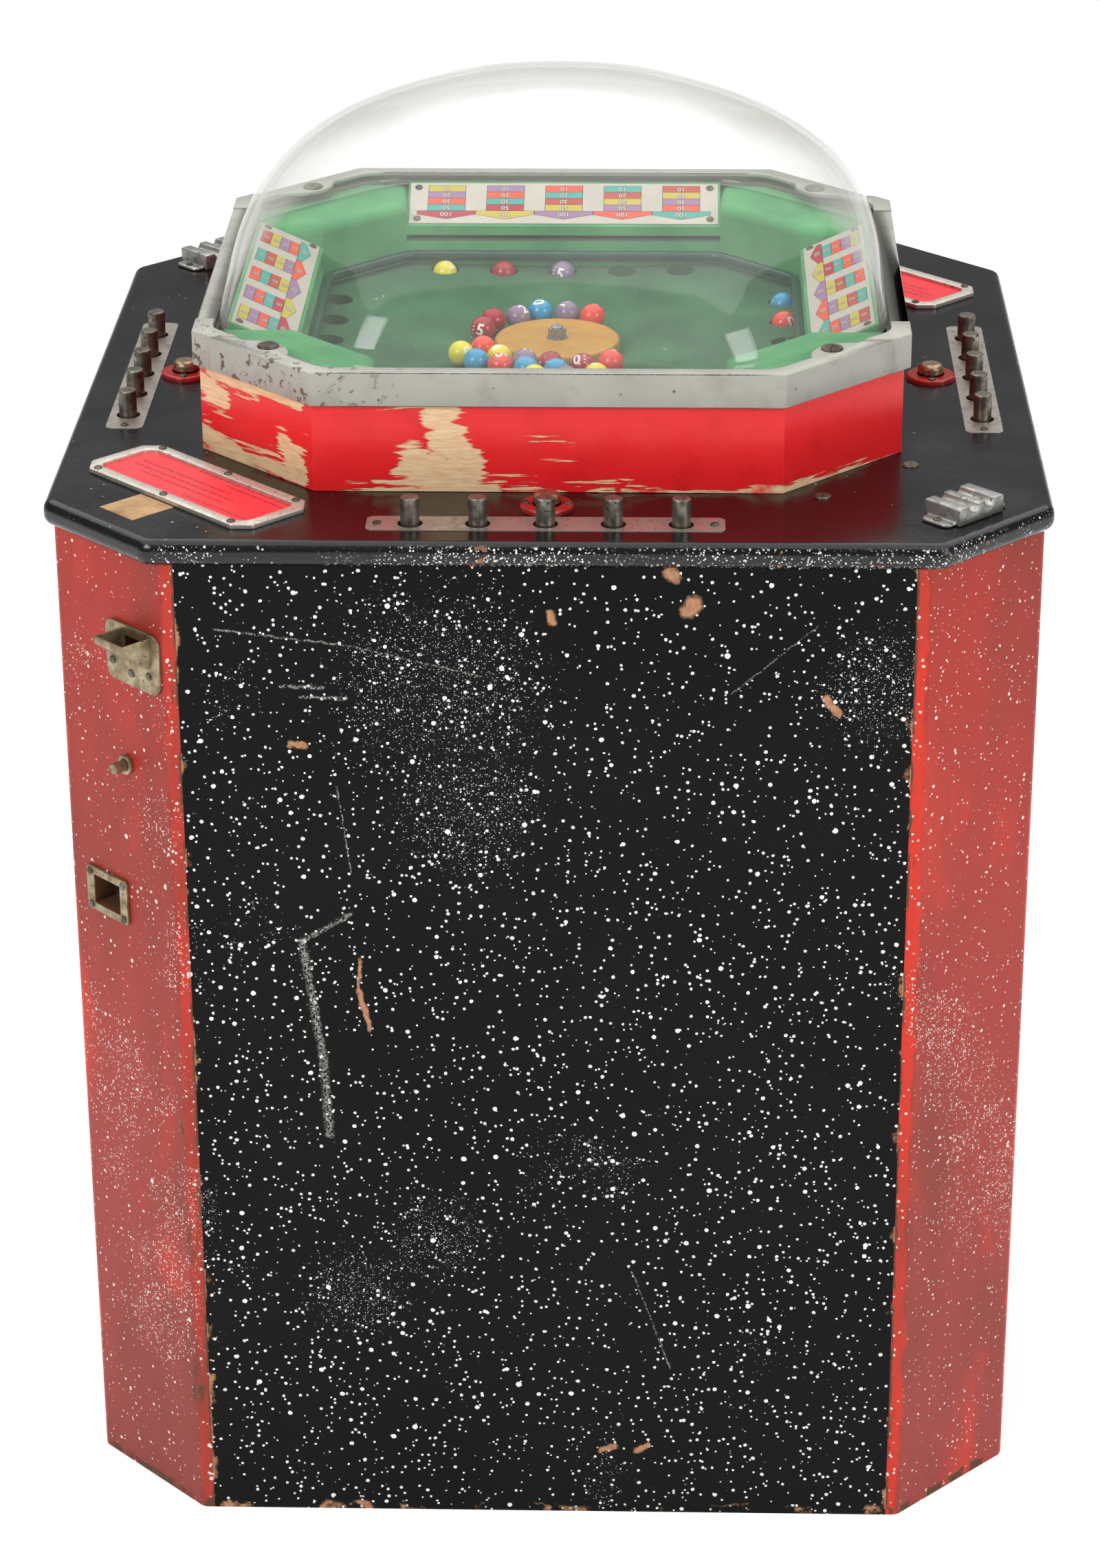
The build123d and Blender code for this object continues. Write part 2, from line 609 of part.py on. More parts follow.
def make_dome():
    inner_half = DOME_HALF - DOME_WALL
    inner_leg = inset_leg(DOME_LEG, DOME_WALL)
    shell = bubble(DOME_HALF, DOME_LEG, DOME_RISE) - bubble(inner_half, inner_leg, DOME_RISE - DOME_WALL)
    room = FRAME_HALF - FRAME_WALL - 0.5
    flange = raised(octagon(room, inset_leg(FRAME_LEG, FRAME_WALL + 0.5)), PLINTH_TOP_Z,
                    PLINTH_TOP_Z + DOME_FLANGE)
    foot = dome_outline(DOME_HALF - DOME_WALL / 2, inset_leg(DOME_LEG, DOME_WALL / 2), DOME_FOOT_ROUND)
    flange -= raised(foot, PLINTH_TOP_Z - 1, PLINTH_TOP_Z + DOME_FLANGE + 1)
    save("dome", shell + flange)


# ---- playfield well ----
def field_height(radius):
    return FIELD_CENTRE_Z + FIELD_SLOPE * radius


def make_playfield():
    reach = WELL_HALF * DIAG
    profile = Polygon((0, FIELD_Z), (reach, FIELD_Z), (reach, field_height(reach)), (0, FIELD_CENTRE_Z), align=None)
    field = revolve(Plane.XZ * profile, Axis.Z)
    field &= raised(octagon(WELL_HALF, WELL_LEG), FIELD_Z, field_height(reach) + 1)
    cuts = []
    for along in BUTTON_ALONG:
        cuts.append(post(along, -POCKET_OUT, POCKET_Z, field_height(reach) + 1, POCKET_R))
        half = FINGER_SLOT_WIDTH / 2
        cuts.append(front_block(along - half, along + half, POCKET_OUT - FINGER_SLOT_IN,
                                POCKET_OUT + FINGER_SLOT_OUT, FIELD_Z - 1, POCKET_Z + 1))
    for k in range(4):
        for cut in cuts:
            field -= turn(cut, k)
    half = WELL_HALF - WELL_LEG
    ends = [-half] + [along + PITCH / 2 for along in BUTTON_ALONG[:-1]] + [half]
    board = field - post(0, 0, FIELD_Z - 1, FIELD_CENTRE_Z + 1, SPINDLE_R + 1.5)
    blocks = []
    for left, right in zip(ends, ends[1:]):
        blocks += all_sides(front_block(left, right, BLOCKS_IN, WELL_HALF, FIELD_Z, field_height(reach)))
    for piece in all_sides(front_block(-half, half, BLOCKS_IN, WELL_HALF, FIELD_Z, field_height(reach))):
        board -= piece
    save("playfield", board)
    save("pocket_blocks", *[field & piece for piece in blocks])


def make_well_walls():
    half = WELL_HALF - WELL_LEG
    wall = front_block(-half, half, WELL_HALF, WELL_HALF + WALL_THICK, FIELD_Z, WALL_TOP_Z)
    score = side_profile([(WELL_HALF, SCORE_LOW_Z - SCORE_THICK), (SCORE_END, SCORE_LOW_Z + SCORE_RISE - SCORE_THICK),
                          (SCORE_END, SCORE_LOW_Z + SCORE_RISE), (WELL_HALF, SCORE_LOW_Z)], -half, half)
    plinth_in = PLINTH_HALF - PLINTH_THICK
    chamfer = plinth_in - inset_leg(PLINTH_LEG, PLINTH_THICK)
    outline = Polygon((half, -WELL_HALF), (WELL_HALF, -half), (plinth_in, -half), (plinth_in, -chamfer),
                      (chamfer, -plinth_in), (half, -plinth_in), align=None)
    pad = raised(outline, FIELD_Z, FIELD_Z + CORNER_HEIGHT)
    rim = pad.faces().sort_by(Axis.Z)[-1].edges()
    inner_rim = rim.sort_by(lambda e: Vector(e.center().X, e.center().Y).length)[:3]
    pad = fillet(inner_rim, CORNER_TOP_ROUND)
    save("well_walls", *all_sides(wall), *all_sides(score), *all_sides(pad))


def on_score_board(shape, out):
    """Put a piece that stands on z = 0 on the sloping score board, at a distance from the middle."""
    slope = SCORE_RISE / (SCORE_END - WELL_HALF)
    lowered = Rot(-degrees(atan(slope)), 0, 0) * shape
    return Pos(0, -out, SCORE_LOW_Z + slope * (out - WELL_HALF)) * lowered


def card_depth():
    run = SCORE_END - WELL_HALF
    return sqrt(run ** 2 + SCORE_RISE ** 2) - 2 * CARD_MARGIN


def make_score_cards():
    middle = (WELL_HALF + SCORE_END) / 2
    card = Box(CARD_LENGTH, card_depth(), CARD_THICK, align=(Align.CENTER, Align.CENTER, Align.MIN))
    save("score_cards", *all_sides(on_score_board(card, middle)))


def make_bumper_rail():
    half = WELL_HALF - BUMPER_R
    a = half - inset_leg(WELL_LEG, BUMPER_R)
    z = TOP_Z + BUMPER_HEIGHT
    corners = [(a, -half), (half, -a), (half, a), (a, half), (-a, half), (-half, a), (-half, -a), (-a, -half)]
    path = FilletPolyline(*[(x, y, z) for x, y in corners], radius=BUMPER_BEND_R, close=True)
    start = path @ 0
    section = Plane(origin=start, z_dir=path % 0) * Circle(BUMPER_R)
    save("bumper_rail", sweep(section, path=path))


# ---- disc, spindle, motor ----
def make_spin_drive():
    disc = post(0, 0, DISC_Z, DISC_Z + DISC_THICK, DISC_R)
    disc = fillet(disc.edges().sort_by(Axis.Z)[-1], DISC_ROUND)
    top = DISC_Z + DISC_THICK
    save("spin_disc", disc - post(0, 0, DISC_Z - 1, top + 1, SPINDLE_R))
    shaft_low = STRAP_Z - 8
    shaft = post(0, 0, shaft_low, top + WASHER_THICK + NUT_THICK + 3, SPINDLE_R)
    shaft = chamfer(shaft.edges().sort_by(Axis.Z)[-1], 1.2)
    washer = post(0, 0, top, top + WASHER_THICK, WASHER_R) - post(0, 0, top - 1, top + 5, SPINDLE_R)
    nut_low = top + WASHER_THICK
    nut = raised(RegularPolygon(NUT_R, 6), nut_low, nut_low + NUT_THICK)
    nut -= post(0, 0, nut_low - 1, nut_low + NUT_THICK + 1, SPINDLE_R)
    save("spindle", shaft, washer, nut)

    opening_diag = (2 * WELL_OPENING_HALF - WELL_OPENING_LEG) / DIAG
    strap = block(-STRAP_WIDTH / 2, STRAP_WIDTH / 2, -opening_diag - STRAP_LAND, opening_diag + STRAP_LAND,
                  STRAP_Z, BODY_HEIGHT)
    strap -= post(0, 0, STRAP_Z - 1, BODY_HEIGHT + 1, SPINDLE_R + 2)
    motor = post(0, 0, STRAP_Z - MOTOR_LENGTH, STRAP_Z, MOTOR_R)
    motor = fillet(motor.edges().sort_by(Axis.Z)[0], 4.0)
    motor -= post(0, 0, shaft_low - 1, STRAP_Z + 1, SPINDLE_R + SPINDLE_PLAY)
    save("spin_motor", corner(strap, 0), motor)


# ---- balls ----
def ball(x, y, z):
    return Pos(x, y, z) * Sphere(BALL_R)


def make_balls():
    for (side_name, number), colour in POCKETED.items():
        side = SIDES.index(side_name)
        seated = ball(BUTTON_ALONG[number - 1], -POCKET_OUT, POCKET_Z + BALL_R + BALL_LIFT_GAP)
        save(f"ball_{colour}", turn(seated, side))
    lean = sqrt(1 + FIELD_SLOPE ** 2)
    loose = []
    for angle, distance in LOOSE_BALLS:
        z = field_height(distance) + (BALL_R + BALL_LIFT_GAP) * lean
        loose.append(ball(distance * cos(radians(angle)), distance * sin(radians(angle)), z))
    save("loose_balls", *loose)


# ---- fittings on the top board ----
def instruction_outline(inset):
    length = INSTR_LENGTH - 2 * inset
    width = INSTR_WIDTH - 2 * inset
    clip = INSTR_CLIP - inset * (2 - DIAG)
    a, b = length / 2, width / 2
    shape = Polygon((a - clip, -b), (a, clip - b), (a, b - clip), (a - clip, b), (clip - a, b), (-a, b - clip),
                    (-a, clip - b), (clip - a, -b), align=None)
    return fillet(shape.vertices(), 4.0)


def make_instruction_frames():
    frame = raised(instruction_outline(0) - instruction_outline(INSTR_BORDER), TOP_Z, TOP_Z + INSTR_THICK)
    card = raised(instruction_outline(INSTR_BORDER), TOP_Z, TOP_Z + CARD_RED_THICK)
    place = Pos(0, -INSTR_OUT, 0)
    save("instruction_frames", corner(place * frame, 0), corner(place * frame, 2))
    label = front_block(-LABEL_SIZE / 2, LABEL_SIZE / 2, LABEL_OUT - LABEL_SIZE / 2, LABEL_OUT + LABEL_SIZE / 2,
                        TOP_Z, TOP_Z + LABEL_THICK)
    save("instruction_cards", corner(place * card, 0), corner(place * card, 2), corner(label, 0))


def make_cigarette_rests():
    base = rounded_plate(REST_LENGTH + 2 * REST_EAR, REST_WIDTH - 8, 6, 0, REST_BASE)
    rest = base + block(-REST_LENGTH / 2 + 2, REST_LENGTH / 2 - 2, -REST_WIDTH / 2, REST_WIDTH / 2, 0, REST_HEIGHT)
    for along in (-REST_LENGTH / 6, REST_LENGTH / 6):
        rest -= Pos(along, 0, REST_HEIGHT) * Rot(90, 0, 0) * Cylinder(GROOVE_R, REST_WIDTH + 2)
    rest = Pos(0, -REST_OUT, TOP_Z) * rest
    save("cigarette_rests", corner(rest, 1), corner(rest, 3))


# ---- coin fittings ----
def coin_entry():
    face = CHAMFER_OUT
    plate = Pos(ENTRY_ALONG, -face - ENTRY_THICK / 2, ENTRY_Z) * Rot(90, 0, 0) * extrude(
        RectangleRounded(ENTRY_WIDTH, ENTRY_HEIGHT, ENTRY_ROUND), ENTRY_THICK / 2, both=True)
    low = SCOOP_TOP_Z - SCOOP_HEIGHT
    near = face + ENTRY_THICK
    outer = [(near, low), (near + SCOOP_OUT, SCOOP_TOP_Z - SCOOP_LIP), (near + SCOOP_OUT, SCOOP_TOP_Z),
             (near, SCOOP_TOP_Z)]
    w = SCOOP_WALL
    inner = [(near, low + 2 * w), (near + SCOOP_OUT - w, SCOOP_TOP_Z - SCOOP_LIP + w),
             (near + SCOOP_OUT - w, SCOOP_TOP_Z + 1), (near, SCOOP_TOP_Z + 1)]
    a0 = SCOOP_ALONG - SCOOP_WIDTH / 2
    a1 = SCOOP_ALONG + SCOOP_WIDTH / 2
    scoop = side_profile(outer, a0, a1) - side_profile(inner, a0 + w, a1 - w)
    back = front_block(a0, a1, face, near, ENTRY_Z, SCOOP_TOP_Z)
    hole = front_block(SCOOP_ALONG - COIN_HOLE_WIDTH / 2, SCOOP_ALONG + COIN_HOLE_WIDTH / 2, face - 1, near + 1,
                       low + 2 * w, ENTRY_Z + COIN_HOLE_HEIGHT)
    return plate + back + scoop - hole


def coin_return_frame():
    face = CHAMFER_OUT
    outline = RectangleRounded(RETURN_WIDTH, RETURN_HEIGHT, 3) - Rectangle(RETURN_HOLE_WIDTH, RETURN_HOLE_HEIGHT)
    return Pos(RETURN_ALONG, -face - RETURN_THICK / 2, RETURN_Z) * Rot(90, 0, 0) * extrude(
        outline, RETURN_THICK / 2, both=True)


def coin_bush():
    face = CHAMFER_OUT
    bush = pin_out(COIN_BUTTON_ALONG, face, face + BUSH_THICK, COIN_BUTTON_Z, BUSH_R)
    return bush - pin_out(COIN_BUTTON_ALONG, face - 1, face + BUSH_THICK + 1, COIN_BUTTON_Z,
                          COIN_BUTTON_R + COIN_BUTTON_PLAY)


def make_coin_side():
    save("coin_fittings", *[on_coin_corner(p) for p in (coin_entry(), coin_return_frame(), coin_bush())])
    inner = CHAMFER_OUT - PANEL_THICK
    button = pin_out(COIN_BUTTON_ALONG, inner - COIN_BUTTON_TAIL, CHAMFER_OUT + COIN_BUTTON_PROUD, COIN_BUTTON_Z,
                     COIN_BUTTON_R)
    button = fillet(button.edges().sort_by(Axis.Y)[0], 1.0)
    save("coin_button", on_coin_corner(button))

    mech_low = ENTRY_Z - MECH_HEIGHT + COIN_HOLE_HEIGHT
    mech = front_block(MECH_ALONG - MECH_WIDTH / 2, MECH_ALONG + MECH_WIDTH / 2, inner - MECH_DEPTH, inner,
                       mech_low, ENTRY_Z + COIN_HOLE_HEIGHT + 10)
    mech -= front_block(SCOOP_ALONG - COIN_HOLE_WIDTH / 2, SCOOP_ALONG + COIN_HOLE_WIDTH / 2, inner - 20, inner + 1,
                        ENTRY_Z - 30, ENTRY_Z + COIN_HOLE_HEIGHT)
    tail_room = COIN_BUTTON_TAIL + COIN_BUTTON_TRAVEL + 2
    mech -= front_block(COIN_BUTTON_ALONG - 2 * COIN_BUTTON_R, COIN_BUTTON_ALONG + 2 * COIN_BUTTON_R,
                        inner - tail_room, inner + 1, mech_low - 1, COIN_BUTTON_Z + 2 * COIN_BUTTON_R)
    a0 = RETURN_ALONG - RETURN_HOLE_WIDTH / 2
    a1 = RETURN_ALONG + RETURN_HOLE_WIDTH / 2
    z0 = RETURN_Z - RETURN_HOLE_HEIGHT / 2
    z1 = RETURN_Z + RETURN_HOLE_HEIGHT / 2
    w = CUP_WALL
    cup = side_profile([(inner - CUP_DEPTH, z0 + 6), (inner, z0 - w), (inner, z1 + w), (inner - CUP_DEPTH, z1 + w)],
                       a0 - w, a1 + w)
    cup -= side_profile([(inner - CUP_DEPTH + w, z0 + 6 + w), (inner + 1, z0), (inner + 1, z1),
                         (inner - CUP_DEPTH + w, z1)], a0, a1)
    cash_out = inner - CASH_SIZE - 40
    cash = front_block(-CASH_SIZE / 2, CASH_SIZE / 2, cash_out, cash_out + CASH_SIZE, BASE_THICK,
                       BASE_THICK + CASH_HEIGHT)
    cash -= front_block(CASH_WALL - CASH_SIZE / 2, CASH_SIZE / 2 - CASH_WALL, cash_out + CASH_WALL,
                        cash_out + CASH_SIZE - CASH_WALL, BASE_THICK + CASH_WALL, BASE_THICK + CASH_HEIGHT + 1)
    save("coin_mechanism", *[on_coin_corner(p) for p in (mech, cup, cash)])


# ---- screws ----
def make_screws():
    heads = []
    small = screw_head()
    end = PLATE_LENGTH / 2 - PLATE_SCREW_FROM_END
    flange_r = (SPIN_R + SPIN_PLAY + SPIN_FLANGE_R) / 2
    card_end = CARD_LENGTH / 2 - 7
    card_half = card_depth() / 2 - 6
    for sign in (-1, 1):
        heads += all_sides(Pos(sign * end, -BUTTON_OUT, PLATE_TOP_Z) * small)
        heads += all_sides(Pos(sign * flange_r, -SPIN_OUT, TOP_Z + SPIN_FLANGE_THICK) * small)
        for row in (-1, 1):
            on_card = Pos(sign * card_end, row * card_half, CARD_THICK) * small
            heads += all_sides(on_score_board(on_card, (WELL_HALF + SCORE_END) / 2))
    border = INSTR_BORDER / 2
    for k in (0, 2):
        for along in (-1, 0, 1):
            for row in (-1, 1):
                place = Pos(along * (INSTR_LENGTH / 2 - INSTR_CLIP - border),
                            row * (INSTR_WIDTH / 2 - border) - INSTR_OUT, TOP_Z + INSTR_THICK)
                heads.append(corner(place * small, k))
    for k in (1, 3):
        for sign in (-1, 1):
            place = Pos(sign * (REST_LENGTH / 2 + REST_EAR / 2 - 1), -REST_OUT, TOP_Z + REST_BASE)
            heads.append(corner(place * small, k))
    big = screw_head(BIG_SCREW_R, 2.2)
    heads += all_corners(Pos(0, -FRAME_SCREW_OUT, FRAME_TOP_Z) * big)
    for sign in (-1, 1):
        heads.append(corner(Pos(sign * 50, -347, TOP_Z) * screw_head(6.5, 1.6), 1))
    outward = Rot(90, 0, 0)
    for sign in (-1, 1):
        for row in (-1, 1):
            place = Pos(RETURN_ALONG + sign * (RETURN_WIDTH / 2 - 5), -CHAMFER_OUT - RETURN_THICK,
                        RETURN_Z + row * (RETURN_HEIGHT / 2 - 4.5))
            heads.append(on_coin_corner(place * outward * small))
    for along, z in ((8, -9), (30, -14), (52, -10)):
        place = Pos(ENTRY_ALONG - ENTRY_WIDTH / 2 + along, -CHAMFER_OUT - ENTRY_THICK, ENTRY_Z + z)
        heads.append(on_coin_corner(place * outward * small))
    save("screws", *heads)


make_cabinet()
make_cord_gland()
make_rear_door()
make_top_board()
make_button_plates()
make_keys()
make_pivot_rods()
make_spin_buttons()
make_plinth()
make_dome_frame()
make_dome()
make_playfield()
make_well_walls()
make_score_cards()
make_bumper_rail()
make_spin_drive()
make_balls()
make_instruction_frames()
make_cigarette_rests()
make_coin_side()
make_screws()

os.makedirs("parts", exist_ok=True)
for name, solids in NODES.items():
    shape = solids[0] if len(solids) == 1 else Compound(children=solids)
    export_step(shape, f"parts/{name}.step")
print(len(NODES), "nodes written")
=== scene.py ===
# %% [markdown]
# # A four-player ball game under a clear bubble
#
# The real machine is a painted plywood cabinet with cut-off corners. Five sprung buttons on each side tip
# balls out of the pockets of a felt-covered dish, and a disc in the middle of the dish throws them about.
# The frame of the model is already made and measured. This lesson loads it, gives each part the finish of
# the real one, and models the pieces whose look needs more than flat faces and plain cuts.

# %% Load the frame
import math
import bmesh
import bpy
from mathutils import Matrix, Vector


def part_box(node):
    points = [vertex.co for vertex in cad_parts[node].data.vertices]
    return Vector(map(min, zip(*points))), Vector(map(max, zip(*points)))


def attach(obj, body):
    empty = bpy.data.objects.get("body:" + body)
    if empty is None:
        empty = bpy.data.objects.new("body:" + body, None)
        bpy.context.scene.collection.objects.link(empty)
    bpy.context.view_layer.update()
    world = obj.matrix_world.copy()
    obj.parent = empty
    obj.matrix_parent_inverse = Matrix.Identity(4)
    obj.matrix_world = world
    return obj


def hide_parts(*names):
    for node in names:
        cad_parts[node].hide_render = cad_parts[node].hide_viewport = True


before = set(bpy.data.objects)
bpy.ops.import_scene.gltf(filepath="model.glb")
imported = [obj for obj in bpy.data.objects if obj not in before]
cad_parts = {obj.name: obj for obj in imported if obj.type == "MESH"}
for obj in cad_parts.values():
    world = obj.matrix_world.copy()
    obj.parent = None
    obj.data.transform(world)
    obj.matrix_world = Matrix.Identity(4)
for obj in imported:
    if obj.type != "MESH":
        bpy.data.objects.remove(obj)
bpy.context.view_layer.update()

MM = 0.001

# %% [markdown]
# ## Camera, floor and light
#
# The camera stands just above head height, a little to the right of the machine's middle, and looks down
# at it through a long lens, which keeps the upright edges nearly parallel. It could be aimed with a
# constraint, but three angles written down once are easier to check and need nothing else in the scene.

# %% Camera
CAMERA_AT = Vector((88.3, -3243.6, 1966.6)) * MM
TURN, TILT, ROLL = 0.0296, -0.4272, -0.0049    # radians, from level and straight ahead
SENSOR = 36.0              # mm, the picture's long side
LENS_PER_SENSOR = 2.6306
FARTHEST = 60.0            # m, well past the end of the floor

ahead = Vector((-math.sin(TURN) * math.cos(TILT), math.cos(TURN) * math.cos(TILT), math.sin(TILT)))
level = Vector((math.cos(TURN), math.sin(TURN), 0))
upward = level.cross(ahead)
right = level * math.cos(ROLL) + upward * math.sin(ROLL)
upward = right.cross(ahead)
camera_data = bpy.data.cameras.new("camera")
camera = bpy.data.objects.new("camera", camera_data)
bpy.context.scene.collection.objects.link(camera)
camera_data.sensor_width = SENSOR
camera_data.lens = SENSOR * LENS_PER_SENSOR
camera_data.clip_end = FARTHEST
camera.matrix_world = Matrix((
    (right.x, upward.x, -ahead.x, CAMERA_AT.x),
    (right.y, upward.y, -ahead.y, CAMERA_AT.y),
    (right.z, upward.z, -ahead.z, CAMERA_AT.z),
    (0, 0, 0, 1)))
bpy.context.scene.camera = camera
print("lens, mm:", round(camera_data.lens, 1))

# %% [markdown]
# Every material below is written with the same three helpers. Colours are given as the hex values that a
# painter would read off a colour card, so one function turns them into the linear values that a renderer
# adds up. Another adds a node, sets it and wires it. The third gives the place of each point in metres,
# which lets a pattern have a real size: noise with a scale of 1000 / 4 has grains about 4 mm wide.

# %% Colour, node and place helpers
def linear(hex_colour):
    channels = [int(hex_colour[i:i + 2], 16) / 255 for i in (1, 3, 5)]
    return (*[c / 12.92 if c <= 0.04045 else ((c + 0.055) / 1.055) ** 2.4 for c in channels], 1.0)


def add(tree, kind, inputs=None, **settings):
    """Adds a node, sets it, then links each input that is given a socket and fills the others."""
    made = tree.nodes.new("ShaderNode" + kind)
    for name, value in settings.items():
        setattr(made, name, value)
    for name, value in (inputs or {}).items():
        if isinstance(value, bpy.types.NodeSocket):
            tree.links.new(value, made.inputs[name])
        else:
            made.inputs[name].default_value = value
    return made


def new_finish(name):
    """An empty material: returns it, its node tree and the place of each point in metres."""
    material = bpy.data.materials.new(name)
    material.use_nodes = True
    material.node_tree.nodes.clear()
    return material, material.node_tree, add(material.node_tree, "TexCoord").outputs["Object"]


print("white is", [round(c, 2) for c in linear("#ffffff")])

# %% [markdown]
# A worn finish is a stack of coats. The lowest is given first, and each one over it has a mask that is 1
# where the coat shows. Mixing coats one over another is how the real thing came about: ply, paint,
# spatter, then the knocks that cut back to the ply.

# %% Stack coats into one surface
def coat_over(tree, coats, bumps=(), **shader):
    """coats: (mask, colour, roughness), the lowest with no mask. bumps: (height, depth in mm)."""
    _, colour, roughness = coats[0]
    colour = linear(colour) if isinstance(colour, str) else colour
    same_gloss = len({coat[2] for coat in coats}) == 1
    for mask, over, gloss in coats[1:]:
        over = linear(over) if isinstance(over, str) else over
        mixed = add(tree, "Mix", {0: mask, 6: colour, 7: over}, data_type="RGBA")
        colour = mixed.outputs[2]
        if not same_gloss:
            roughness = add(tree, "Mix", {0: mask, 2: roughness, 3: gloss}, data_type="FLOAT").outputs[0]
    inputs = {"Base Color": colour, "Roughness": roughness}
    inputs.update({name.replace("_", " "): value for name, value in shader.items()})
    normal = None
    for height, depth in bumps:
        links = {"Height": height, "Distance": depth * MM, "Strength": 1.0}
        if normal:
            links["Normal"] = normal
        normal = add(tree, "Bump", links).outputs["Normal"]
    if normal:
        inputs["Normal"] = normal
    surface = add(tree, "BsdfPrincipled", inputs)
    add(tree, "OutputMaterial", {"Surface": surface.outputs["BSDF"]})


# %% [markdown]
# The patterns are soft patches, thrown specks, knocks at a given place and scratches between two places.
# Patches come from noise cut off at a level. Specks come from a Voronoi pattern: each cell holds one drop,
# and the cell's own random colour sets how large its drop is, so there are many fine drops and few big ones.

# %% Patches and specks
def patches(tree, where, size, level, softness=0.04, stretch=(1, 1, 1), detail=6.0):
    """1 where noise with features of size mm is over level (0.5 is half the surface)."""
    stretched = add(tree, "Mapping", {"Vector": where, "Scale": stretch})
    noise = add(tree, "TexNoise", {"Vector": stretched.outputs[0], "Scale": 1000 / size, "Detail": detail,
                                   "Roughness": 0.6})
    ranged = add(tree, "MapRange", {0: noise.outputs[0], 1: level - softness, 2: level + softness})
    return ranged.outputs[0]


def specks(tree, where, spacing, biggest, skew=3.0, shift=0.0):
    """1 on thrown drops of paint, spacing mm apart, the biggest with this radius in mm."""
    moved = add(tree, "Mapping", {"Vector": where, "Location": (shift, 2 * shift, 3 * shift)})
    cells = add(tree, "TexVoronoi", {"Vector": moved.outputs[0], "Scale": 1000 / spacing})
    size = add(tree, "Math", {0: cells.outputs["Color"], 1: skew}, operation="POWER")
    radius = add(tree, "Math", {0: size.outputs[0], 1: 2 * biggest / spacing}, operation="MULTIPLY")
    inside = add(tree, "Math", {0: cells.outputs["Distance"], 1: radius.outputs[0]}, operation="LESS_THAN")
    return inside.outputs[0]


def mottled(tree, where, size, detail, tones, span=(0.0, 1.0), roughness=0.5):
    """A colour that wanders between two tones in blots of size mm, and the noise that drives it."""
    noise = add(tree, "TexNoise", {"Vector": where, "Scale": 1000 / size, "Detail": detail,
                                   "Roughness": roughness})
    ramp = add(tree, "ValToRGB", {0: noise.outputs[0]})
    for element, position, tone in zip(ramp.color_ramp.elements, span, tones):
        element.position, element.color = position, linear(tone)
    return ramp.outputs[0], noise.outputs[0]


def together(tree, masks, how="MAXIMUM"):
    """The strongest of some masks at each point; with MULTIPLY, only where they all are."""
    result = masks[0]
    for mask in masks[1:]:
        result = add(tree, "Math", {0: result, 1: mask}, operation=how).outputs[0]
    return result


# %% Knocks and scratches at a place
def ragged(tree, where, size, amount, pattern=None):
    """The same places, pushed about by up to amount mm, so that an edge drawn on them is ragged."""
    noise = add(tree, "TexNoise", {"Vector": pattern or where, "Scale": 1000 / size, "Detail": 4.0})
    centred = add(tree, "VectorMath", {0: noise.outputs["Color"], 1: (0.5, 0.5, 0.5)}, operation="SUBTRACT")
    pushed = add(tree, "VectorMath", {0: centred.outputs[0], "Scale": 4 * amount * MM}, operation="SCALE")
    return add(tree, "VectorMath", {0: where, 1: pushed.outputs[0]}, operation="ADD").outputs[0]


def stroke(tree, where, start, end, width, softness=0.3):
    """1 within width mm of the line from start to end (both in mm); a spot if they are the same."""
    a = Vector(start) * MM
    along = Vector(end) * MM - a
    away = add(tree, "VectorMath", {0: where, 1: a}, operation="SUBTRACT").outputs[0]
    if along.length > 0:
        share = add(tree, "VectorMath", {0: away, 1: along / along.length_squared}, operation="DOT_PRODUCT")
        held = add(tree, "Clamp", {0: share.outputs["Value"]})
        step = add(tree, "VectorMath", {0: along, "Scale": held.outputs[0]}, operation="SCALE")
        away = add(tree, "VectorMath", {0: away, 1: step.outputs[0]}, operation="SUBTRACT").outputs[0]
    distance = add(tree, "VectorMath", {0: away}, operation="LENGTH").outputs["Value"]
    near, far = width * MM * (1 - softness), width * MM * (1 + softness)
    return add(tree, "MapRange", {0: distance, 1: near, 2: far, 3: 1.0, 4: 0.0}).outputs[0]


def dress(names, material):
    """Gives parts of the frame their finish."""
    for name in names:
        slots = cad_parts[name].data.materials
        slots.clear()
        slots.append(material)
    print(material.name, "on", len(names), "parts")


# %% [markdown]
# ## Spattered paint
#
# The cabinet is plywood, brushed with oil paint and then spattered with white off a stiff brush. The black
# panels and red corners have the same spatter. It is drawn as three sizes of drop, and as a fine mist that
# lies only in clouds and in a few puffs. Knocks go through to the wood, and long scratches are grey.

# %% Spatter over any paint
# For each sort of drop: spacing in mm, biggest radius in mm, how rare big ones are, shift of the pattern.
MIST = (1.7, 0.5, 1.8)
FINE = (4.4, 0.76, 1.9, 0.3)
MIDDLING = (8.5, 1.3, 3.6, 0.5)
BIG = (19.0, 2.1, 3.6, 0.7)


